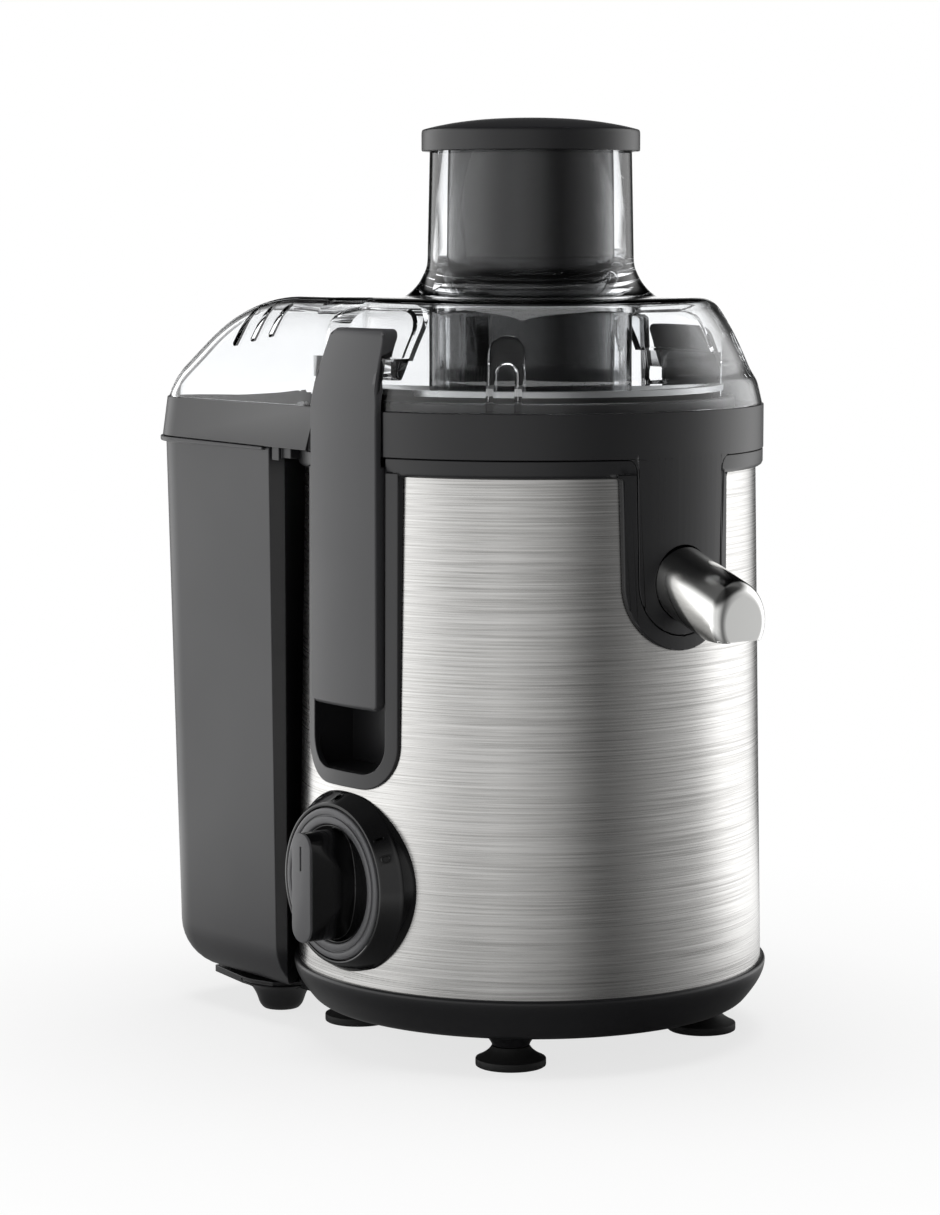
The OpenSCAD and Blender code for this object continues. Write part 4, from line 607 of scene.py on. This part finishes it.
# ------------------------------------------------------------------ spout
def build_spout():
    """Chrome tube: its rings run from the root to the upright end face, then the edge rounds into the face."""
    reach, edge, radius = 33.2, 4.4, 13.2  # from the collar to the end face, the rounding there, and the tube
    root = -3.5  # the tube starts a little inside the collar
    stations = []
    for k in range(9):
        share = k / 8
        lean = (1 - share) * SPOUT_TILT  # the rings turn from square to the tube to upright
        stations.append((root + share * (reach - edge - root), lean, 0.0))
    stations += [(reach - edge * (1 - math.sin(math.radians(a))), 0.0, edge * (1 - math.cos(math.radians(a))))
                 for a in range(8, 91, 8)] + [(reach, 0.0, edge)]
    rings = []
    for d, lean, inset in stations:
        centre = point_at(0, -COLLAR_R - d, SPOUT_Z - d * math.tan(SPOUT_TILT))
        tall = radius / math.cos(SPOUT_TILT - lean) - inset
        up = Vector((0, -math.sin(lean), math.cos(lean)))
        rings.append([centre + Vector((1, 0, 0)) * (radius - inset) * MM * math.cos(t) + up * tall * MM * math.sin(t)
                      for t in (math.tau * i / 96 for i in range(96))])
    spout = lofted("spout_tube", rings)
    # The bore stops behind the end face, and a level cut below opens it as the mouth
    bore = rod("bore", 11.7, -8, 60, 96, SPOUT_LATHE)
    trim(bore, point_at(0, -COLLAR_R - reach + 2.2, 180), (0, -1, 0))
    combine(spout, bore, "DIFFERENCE")
    trim(spout, point_at(0, 0, SPOUT_Z - 19.3), (0, 0, -1))
    return finish(spout, chrome, "spout", "spout", bevel=0.25, angle=40)


# ------------------------------------------------------------------ pusher
def build_pusher():
    """The domed cap that rests on the chute's edge, and the hollow cup under it."""
    dome = [(42.6, 357.3), (41.6, 357.75), (36, 359.1), (28, 360.5), (19, 361.5), (9, 362.05), (0, 362.2)]
    cap = turned("cap", [(0, 353.4), (29.2, 353.4), (29.2, 347), (31.1, 347), (31.1, 351), (40.5, 351), (40.5, 349.3),
                         (40.8, 349.1), (42.5, 349.1), (42.85, 349.4), (42.9, 350), (42.9, 355.6), (42.85, 356.6)]
                 + smooth_line(dome, 4))
    finish(cap, abs_black, "pusher", "pusher_cap", angle=35)
    cup = turned("cup", [(0, 215.6), (31.8, 215.6), (32.6, 215.9), (33.1, 216.6), (33.2, 217.5), (33.2, 350.8),
                         (31.2, 350.8), (31.2, 218.6), (0, 218.6)])
    finish(cup, pusher_black, "pusher", "pusher_body", angle=35)


# ------------------------------------------------------------------ base pan, tray and feet
def build_base():
    """The pan with the tray under the bin, its two stubs and the bosses over the feet."""
    side = [(85.2, 13.8), (87.2, 15.2), (90.4, 19.3), (92.4, 22.4), (93.7, 25.2), (94.3, 27.4), (94.45, 28.9)]
    pan = turned("pan", [(0, 13.8), (83.6, 13.8)] + smooth_line(side, 3)
                 + [(94.3, 29.6), (93.8, 30.05), (93.2, 30.2), (91.4, 30.2), (91.2, 28.6), (89.6, 23.5), (85.4, 18),
                    (82, 16.4), (0, 16.4)])
    tray = mirrored([(60, 56), (60, 74), (70, 80), (73.4, 90), (73.2, 97), (69, 123.1)])
    shelf = prism("shelf", tray, 10.2, 13.1)
    curb = block("curb", (-60, 60), (56, 110), (10.2, 26.7))
    combine(curb, rod("round", 96.6, 0, 40), "INTERSECT")
    combine(shelf, curb, "UNION")
    stub_side = smooth_line([(15, 11.4), (12.6, 9.8), (10.4, 6.4), (9, 2.6), (7.8, 0.8)], 4)
    for turn in (1, -1):
        stub = turned("stub", [(0, 11.4)] + stub_side + [(7.1, 0.2), (0, 0.2)], 64, upright(turn * 60, 88))
        combine(shelf, stub, "UNION")
    combine(shelf, turned("clear", [(0, 0), (79.5, 0), (79.5, 13.9), (92.8, 13.9), (92.8, 40), (0, 40)]), "DIFFERENCE")
    combine(pan, shelf, "UNION")
    for x, y in foot_places():
        boss = turned("boss", [(0, 8.2), (7.2, 8.2), (7.6, 9.2), (9.2, 11.6), (12.4, 13.7), (13.4, 14.4), (0, 14.4)],
                      64, upright(x, y))
        combine(pan, boss, "UNION")
    # Twelve air slots in a ring in the pan's floor
    near, far, half = 22, 42, 1.5
    for k in range(12):
        a = math.radians(15 + 30 * k)
        along, wide = Vector((math.cos(a), math.sin(a))), Vector((-math.sin(a), math.cos(a)))
        slot = [along * near - wide * half, along * far - wide * half, along * far + wide * half,
                along * near + wide * half]
        combine(pan, prism("slot", [tuple(p) for p in slot], 10, 20), "DIFFERENCE")
    finish(pan, abs_black, "base", "base_pan", bevel=0.35, angle=35)


def build_feet():
    """One turned rubber foot with its plug, and three copies of it."""
    side = smooth_line([(13.0, 3.3), (11.6, 4.0), (9.6, 5.3), (8.2, 6.6), (7.3, 7.9)], 3)
    places = foot_places()
    first = turned("foot", [(0, 1.2), (8.6, 1.2), (8.6, 0.1), (13.1, 0.1), (13.5, 0.35), (13.6, 0.8), (13.6, 2.7),
                            (13.45, 3.1)] + side + [(3.6, 7.9), (3.6, 23), (5, 23), (5, 25.8), (0, 25.8)], 96,
                   upright(*places[0]))
    finish(first, rubber, "base", "foot_rear_right", angle=35)
    for node, place in zip(("foot_rear_left", "foot_front_left", "foot_front_right"), places[1:]):
        made = bpy.data.objects.new(node + "_pad", first.data.copy())
        bpy.context.scene.collection.objects.link(made)
        made.location = Vector((place[0] - places[0][0], place[1] - places[0][1], 0)) * MM
        select_only(made)
        bpy.ops.object.transform_apply(location=True, rotation=False, scale=False)
        finish(made, rubber, "base", node, angle=35)


# ------------------------------------------------------------------ pulp bin
def bin_shape(inset, low, high):
    """A drafted box with round rear corners and a rounded lower edge, drawn in by inset."""
    half, rear, front = 84.6 - inset, 140.4 - inset, 56 + inset
    made = block("bin", (-half, half), (front, rear), (low, high))
    select_above(made, high - 1)
    bpy.ops.transform.resize(value=((87.1 - inset) / half, (145.8 - inset - front) / (rear - front), 1),
                             center_override=point_at(0, front, 0))
    bpy.ops.object.mode_set(mode="OBJECT")
    round_edges(made, lambda a, b, n: min(a.y, b.y) > rear - 2 and abs(a.z - b.z) > 50, 24 - inset, 16)
    return round_edges(made, lambda a, b, n: max(a.z, b.z) < low + 1 and max(a.y, b.y) > front + 1, 20 - inset, 10)


def build_bin():
    """The drafted bin with its lip, hollowed, and open at the front along the round body."""
    outer = bin_shape(0, 13.4, 234.8)
    lip = prism("lip", outline_rear(BAND_HALF, 58, BAND_REAR, BAND_CORNER), 232.5, 234.9)
    round_edges(lip, lambda a, b, n: max(a.z, b.z) < 233, 0.7, 3)
    combine(outer, lip, "UNION")
    combine(outer, rod("hollow_front", 97, 0, 300), "DIFFERENCE")
    inner = bin_shape(2, 15.4, 250)
    combine(inner, rod("hollow_front", 99, 0, 300), "DIFFERENCE")
    combine(outer, inner, "DIFFERENCE")
    trim(outer, point_at(0, BAND_REAR, 234.8), (0, -math.sin(BAND_FALL), math.cos(BAND_FALL)))
    # The bin wears the clamps' graphite darkened as painted shade
    return finish(outer, graphite_with_painted_shade, "bin", "pulp_bin", bevel=0.5, angle=35)


# ------------------------------------------------------------------ clamps
ARM_FACE, ARM_HALF, ARM_TOP = 93.6, 21, 281.6
PIN_X, PIN_Z = 83, 165


def build_clamp(turn, node, body):
    """A clamp arm with its hook and its pin's boss, on the right (turn 1) or on the left (turn -1)."""
    shape = [(89.1, 138.5), (90.3, 137), (92.1, 137), (ARM_FACE, 138.5), (ARM_FACE, 248), (93.45, 252), (93.0, 256.4),
             (92.2, 260.6), (91.2, 264.2), (86.9, 277.2), (86.4, 278.9), (85.5, 280.3), (84.2, 281.3), (82.8, ARM_TOP),
             (76.6, 281.3), (76.6, 270.9), (87.8, 270.9), (88.4, 268.6), (89.1, 256.6)]
    # The plate's face is slightly crowned: the side view is swept about a far upright axis. Spin turns clockwise
    # seen from above for both arms, so each sweep starts half its angle counterclockwise of the arm's middle
    crown, swing = 150, 9
    far, start = ARM_FACE - crown, math.radians(swing)
    sweep = (lambda r, h: point_at(turn * (far + r * math.cos(start)), turn * r * math.sin(start), h), (0, 0, 1))
    arm = turned("arm", [(x - far, z) for x, z in shape], 24, sweep, math.radians(2 * swing))
    # Seen from the side the arm narrows from its bend to its rounded top
    lean = math.degrees(math.atan((ARM_HALF - 17.7) / (ARM_TOP - 252.6)))
    side = arc((18, 140), 3, 270, 360, 6) + [(ARM_HALF, 252.6)] + arc((13.2, 277.1), 4.5, lean, 90, 8)
    combine(arm, prism("face", mirrored(side), turn * 60, turn * 110, "X"), "INTERSECT")
    lid_side = [(0, 230), (91.9, 230), (91.8, 251), (89.6, 260), (86.9, 264.7), (82.9, 273.7), (78.9, 281.6), (76, 286),
                (0, 290)]
    combine(arm, turned("lid_side", lid_side), "DIFFERENCE")
    pin_lathe = (lambda r, h: point_at(turn * PIN_X, h, PIN_Z + r), (0, 1, 0))
    boss = rod("boss", 4.4, -20.5, 20.5, 48, pin_lathe)
    for y in (-18, 0, 18):
        combine(boss, side_block("web", turn, (PIN_X, 91.6), (y - 1.25, y + 1.25), (161, 169)), "UNION")
    combine(boss, rod("bore", 2.05, -30, 30, 32, pin_lathe), "DIFFERENCE")
    combine(arm, boss, "UNION")
    return finish(arm, abs_graphite, body, node, bevel=0.7, angle=30)


# ------------------------------------------------------------------ knob
GRIP_POINTS, GRIP_LONG, GRIP_WIDE = 96, 21.2, 6  # the bar's outline: points, half length and half width
FACING_X, FACING_R = -0.503, 0.865  # the direction that the bezel's slope faces: along X, and away from the axis
MARK_X, MARK_R = -94.6, 33.2


def stadium(half_long, half_wide):
    """Points round a bar with round ends, at even angles; the long way is up."""
    points = []
    for i in range(GRIP_POINTS):
        t = math.tau * i / GRIP_POINTS
        shift = (half_long - half_wide) * (1 if math.sin(t) >= 0 else -1)
        points.append((half_wide * math.cos(t), half_wide * math.sin(t) + shift))
    return points


def build_bezel():
    bezel = turned("bezel", [(12, 70), (14, 70), (14, 84), (36, 84), (36, 90.2), (35.85, 90.7), (35.4, 91.2),
                             (34.8, 91.8), (31.6, 97.3), (31.1, 97.8), (30.5, 97.95), (30, 97.8), (29.6, 97.2),
                             (29.6, 93.1), (12, 93.1)], 160, KNOB_LATHE)
    # Its rear follows the steel skin; only the neck goes through
    skin = turned("inside", [(0, 20), (skin_radius(20, 0.15), 20), (skin_radius(120, 0.15), 120), (0, 120)])
    combine(skin, rod("neck", 14.1, 40, 120, 64, KNOB_LATHE), "DIFFERENCE")
    combine(bezel, skin, "DIFFERENCE")
    # Raised outlines of the marks on the bezel's slope: pulse, 0, 1 and 2, by angle from the top
    for degrees, wide, tall in ((-26, 1.5, 1.5), (0, 1.3, 2.2), (52, 0.5, 2.0), (66, 1.3, 1.6)):
        turn = math.radians(degrees)
        bpy.ops.object.select_all(action="DESELECT")
        bpy.ops.mesh.primitive_torus_add(major_segments=32, minor_segments=6, major_radius=MM, minor_radius=0.22 * MM)
        mark = bpy.context.object
        bpy.ops.transform.resize(value=(wide, tall, 1))
        bpy.ops.object.transform_apply(location=False, rotation=False, scale=True)
        outward = Vector((FACING_X, -FACING_R * math.sin(turn), FACING_R * math.cos(turn)))
        along = Vector((0, -math.cos(turn), -math.sin(turn)))
        mark.matrix_world = Matrix((along, outward.cross(along), outward)).transposed().to_4x4()
        mark.location = point_at(MARK_X, -MARK_R * math.sin(turn), KNOB_Z + MARK_R * math.cos(turn))
        bpy.ops.object.transform_apply(location=True, rotation=True, scale=True)
        combine(bezel, mark, "UNION")
    finish(bezel, abs_gloss, "base", "knob_bezel", angle=30)


def build_knob():
    """The fixed bezel, the turning dial, the dished centre with its grip bar, and the bar's inlay."""
    build_bezel()
    dial = turned("dial", [(23.1, 93.4), (29.3, 93.4), (29.3, 97.6), (29.1, 98.1), (28.7, 98.4), (28.2, 98.5),
                           (27.1, 98.5), (26.8, 98.35), (26.6, 97.9), (26.2, 97.9), (26.0, 98.35), (25.7, 98.5),
                           (23.9, 98.5), (23.4, 98.3), (23.1, 97.8)], 160, KNOB_LATHE)
    finish(dial, dial_grey, "knob", "knob_dial", angle=30)
    dish = turned("dish", [(3.05, 93.4), (22.9, 93.4), (22.9, 97.7), (22.6, 97.9), (22.2, 97.7), (21.6, 96.2),
                           (20.2, 94.9), (18.0, 94.3), (3.05, 94.1)], 160, KNOB_LATHE)
    # The bar grows out of a broad oval in the dish and narrows towards its face
    rings = []
    for k in range(13):
        share = k / 12
        height = 94.0 + share * (111.4 - 94.0)
        ring = []
        for i, top in enumerate(stadium(GRIP_LONG, GRIP_WIDE)):
            t = math.tau * i / GRIP_POINTS
            foot = Vector((10.4 * math.cos(t), 21.6 * math.sin(t)))
            point = foot.lerp(Vector(top), share ** 0.8)
            ring.append(point_at(-height, point.x, KNOB_Z + point.y))
        rings.append(ring)
    grip = lofted("grip", rings)
    combine(grip, rod("bore", 3.05, 80, 103.5, 48, KNOB_LATHE), "DIFFERENCE")
    combine(dish, grip, "UNION")
    finish(dish, abs_gloss, "knob", "knob_grip", bevel=0.3, angle=35)
    face = lofted("face", [[point_at(-h, y, KNOB_Z + z) for y, z in stadium(GRIP_LONG - m, GRIP_WIDE - m)]
                           for h, m in ((111.5, 0.0), (112.2, 0.0), (112.45, 0.12), (112.55, 0.4))])
    groove = block("groove", (-120, -112.1), (-0.6, 0.6), (KNOB_Z + 6.5, KNOB_Z + 16))
    combine(face, groove, "DIFFERENCE")
    finish(face, face_grey, "knob", "knob_face", angle=35)


build_lid()
build_pusher()
build_collector()
build_trim()
build_skin()
build_spout()
build_base()
build_feet()
build_bin()
build_clamp(1, "clamp_right", "right_clamp")
build_clamp(-1, "clamp_left", "left_clamp")
build_knob()


# ------------------------------------------------------------------ studio
# Brightness of the studio's walls round the object, by angle from the camera's side, right-hand side positive:
# soft panels at both sides, a dim room behind the camera, and the white sweep behind the object
WALLS = [(-180, 1.3), (-173, 1.3), (-169, 0.04), (-153, 0.04), (-147, 1.7), (-124, 1.8), (-104, 1.6), (-78, 1.7),
         (-66, 1.5), (-56, 1.27), (-43, 0.97), (-30, 0.84), (-15, 0.84), (0, 0.65), (12, 0.49), (24, 0.26),
         (34, 0.15), (49, 0.24), (62, 0.4), (77, 0.57), (90, 0.82), (102, 1.5), (112, 1.9), (130, 1.8), (142, 1.4),
         (150, 0.7), (156, 0.1), (169, 0.04), (173, 1.3), (180, 1.3)]
BRIGHTEST = 2.2
LOOK = Vector((0.61476, 0.78122, -0.10852))  # the way the camera looks
CAMERA_FROM_AXIS = Vector((-0.88115, -1.08117, 0.32132))


def panels(tree, direction):
    """The level of WALLS in a direction, as a share of the brightest; also the angle and the turned direction."""
    turned_to = add(tree, "ShaderNodeVectorRotate", {"Vector": direction},
                    {"Angle": -math.atan2(-LOOK.y, -LOOK.x)}, rotation_type="Z_AXIS")
    part = add(tree, "ShaderNodeSeparateXYZ", {"Vector": (turned_to, "Vector")})
    angle = add(tree, "ShaderNodeMath", {0: (part, "Y"), 1: (part, "X")}, operation="ARCTAN2")
    share = add(tree, "ShaderNodeMapRange", {"Value": (angle, "Value")}, {"From Min": -math.pi, "From Max": math.pi})
    ramp = add(tree, "ShaderNodeValToRGB", {"Fac": (share, "Result")})
    stops = ramp.color_ramp.elements
    for degrees, level in WALLS[1:-1]:
        stops.new((degrees + 180) / 360).color = [level / BRIGHTEST] * 3 + [1]
    for end in (0, -1):
        stops[end].color = [WALLS[end][1] / BRIGHTEST] * 3 + [1]
    return ramp, angle, part


def studio_light(tree):
    """The studio as a ray leaving the object sees it: panels by direction under a dark ceiling."""
    place = add(tree, "ShaderNodeTexCoord")
    ramp, angle, part = panels(tree, (place, "Generated"))
    high = add(tree, "ShaderNodeMapRange", {"Value": (part, "Z")},
               {"From Min": 0.38, "From Max": 0.72, "To Min": BRIGHTEST, "To Max": 0.15},
               interpolation_type="SMOOTHSTEP")
    # Behind the object the white sweep ends a little above eye level
    aside = add(tree, "ShaderNodeMath", {0: (angle, "Value")}, operation="ABSOLUTE")
    behind = add(tree, "ShaderNodeMapRange", {"Value": (aside, "Value")}, {"From Min": 2.5, "From Max": 2.8})
    over = add(tree, "ShaderNodeMapRange", {"Value": (part, "Z")}, {"From Min": 0.1, "From Max": 0.2})
    dark = add(tree, "ShaderNodeMath", {0: (behind, "Result"), 1: (over, "Result")}, operation="MULTIPLY")
    left = add(tree, "ShaderNodeMapRange", {"Value": (dark, "Value")}, {"To Min": 1.0, "To Max": 0.05})
    level = add(tree, "ShaderNodeMath", {0: (high, "Result"), 1: (left, "Result")}, operation="MULTIPLY")
    return add(tree, "ShaderNodeVectorMath", {0: (ramp, "Color"), "Scale": (level, "Value")}, operation="SCALE")


def place_camera():
    camera_data = bpy.data.cameras.new("camera")
    camera_data.lens = 104.44
    camera_data.sensor_width = 36.0
    camera_data.clip_start, camera_data.clip_end = 0.05, 50
    camera = bpy.data.objects.new("camera", camera_data)
    bpy.context.scene.collection.objects.link(camera)
    camera.location = AXIS + CAMERA_FROM_AXIS
    camera.rotation_euler = LOOK.to_track_quat("-Z", "Y").to_euler()
    bpy.context.scene.camera = camera


def light_world():
    """The camera sees white, mirrors and clear plastic see the panels, and the rest is lit by them, a little dimmer."""
    world = bpy.data.worlds.new("studio")
    bpy.context.scene.world = world
    world.use_nodes = True
    tree = world.node_tree
    tree.nodes.clear()
    path = add(tree, "ShaderNodeLightPath")
    walls = studio_light(tree)
    shown = add(tree, "ShaderNodeMath", {0: (path, "Is Glossy Ray"), 1: (path, "Is Transmission Ray")},
                operation="MAXIMUM")
    shown = add(tree, "ShaderNodeMath", {0: (shown, "Value"), 1: (path, "Is Camera Ray")}, operation="MAXIMUM")
    colour = add(tree, "ShaderNodeMix", {0: (path, "Is Camera Ray"), 6: (walls, "Vector")}, {7: (1, 1, 1, 1)},
                 data_type="RGBA")
    backdrop = add(tree, "ShaderNodeBackground", {"Color": (colour, 2)}, {"Strength": 1.0})
    fill = add(tree, "ShaderNodeBackground", {"Color": (walls, "Vector")}, {"Strength": 0.7})
    mixed = add(tree, "ShaderNodeMixShader",
                {0: (shown, "Value"), 1: (fill, "Background"), 2: (backdrop, "Background")})
    add(tree, "ShaderNodeOutputWorld", {"Surface": (mixed, "Shader")})


def hang_soft_box():
    light = bpy.data.lights.new("soft_box", "AREA")
    light.shape = "RECTANGLE"
    light.size, light.size_y = 1.3, 1.3
    light.energy = 22
    made = bpy.data.objects.new("soft_box", light)
    bpy.context.scene.collection.objects.link(made)
    made.location = (0.1, 0.1, 1.7)
    made.visible_glossy = False


def lay_floor():
    """A pale floor that takes the object's shadow nearby and fades into the white backdrop further out."""
    bpy.ops.object.select_all(action="DESELECT")
    bpy.ops.mesh.primitive_circle_add(vertices=128, radius=0.55, fill_type="NGON")
    floor = bpy.context.object
    floor.name = "floor"
    material, tree, shader = new_material("pale_floor", "#ffffff", 0.9)
    path = add(tree, "ShaderNodeLightPath")
    seen = add(tree, "ShaderNodeMath", {0: (path, "Is Camera Ray"), 1: (path, "Is Transmission Ray")},
               operation="MAXIMUM")
    place = add(tree, "ShaderNodeTexCoord")
    reach = add(tree, "ShaderNodeVectorMath", {0: (place, "Object")}, operation="LENGTH")
    far = add(tree, "ShaderNodeMapRange", {"Value": (reach, "Value")},
              {"From Min": 0.12, "From Max": 0.4, "To Min": 0.75, "To Max": 1.0}, interpolation_type="SMOOTHSTEP")
    share = add(tree, "ShaderNodeMath", {0: (far, "Result"), 1: (seen, "Value")}, operation="MULTIPLY")
    white = add(tree, "ShaderNodeEmission", (), {"Color": (1, 1, 1, 1), "Strength": 1.0})
    mixed = add(tree, "ShaderNodeMixShader", {0: (share, "Value"), 1: (shader, "BSDF"), 2: (white, "Emission")})
    # Reflections see the panels carried on over the floor, dim near the object's shadow
    outward = add(tree, "ShaderNodeVectorMath", {0: (place, "Object")}, {1: -AXIS}, operation="ADD")
    ramp = panels(tree, (outward, "Vector"))[0]
    level = add(tree, "ShaderNodeMapRange", {"Value": (reach, "Value")},
                {"From Min": 0.1, "From Max": 0.4, "To Min": 0.3, "To Max": BRIGHTEST}, interpolation_type="SMOOTHSTEP")
    glow = add(tree, "ShaderNodeEmission", {"Color": (ramp, "Color"), "Strength": (level, "Result")})
    mixed = add(tree, "ShaderNodeMixShader",
                {0: (path, "Is Glossy Ray"), 1: (mixed, "Shader"), 2: (glow, "Emission")})
    tree.links.new(mixed.outputs["Shader"], tree.nodes["Material Output"].inputs["Surface"])
    floor.data.materials.append(material)


place_camera()
light_world()
hang_soft_box()
lay_floor()
bpy.context.scene.view_settings.view_transform = "Standard"
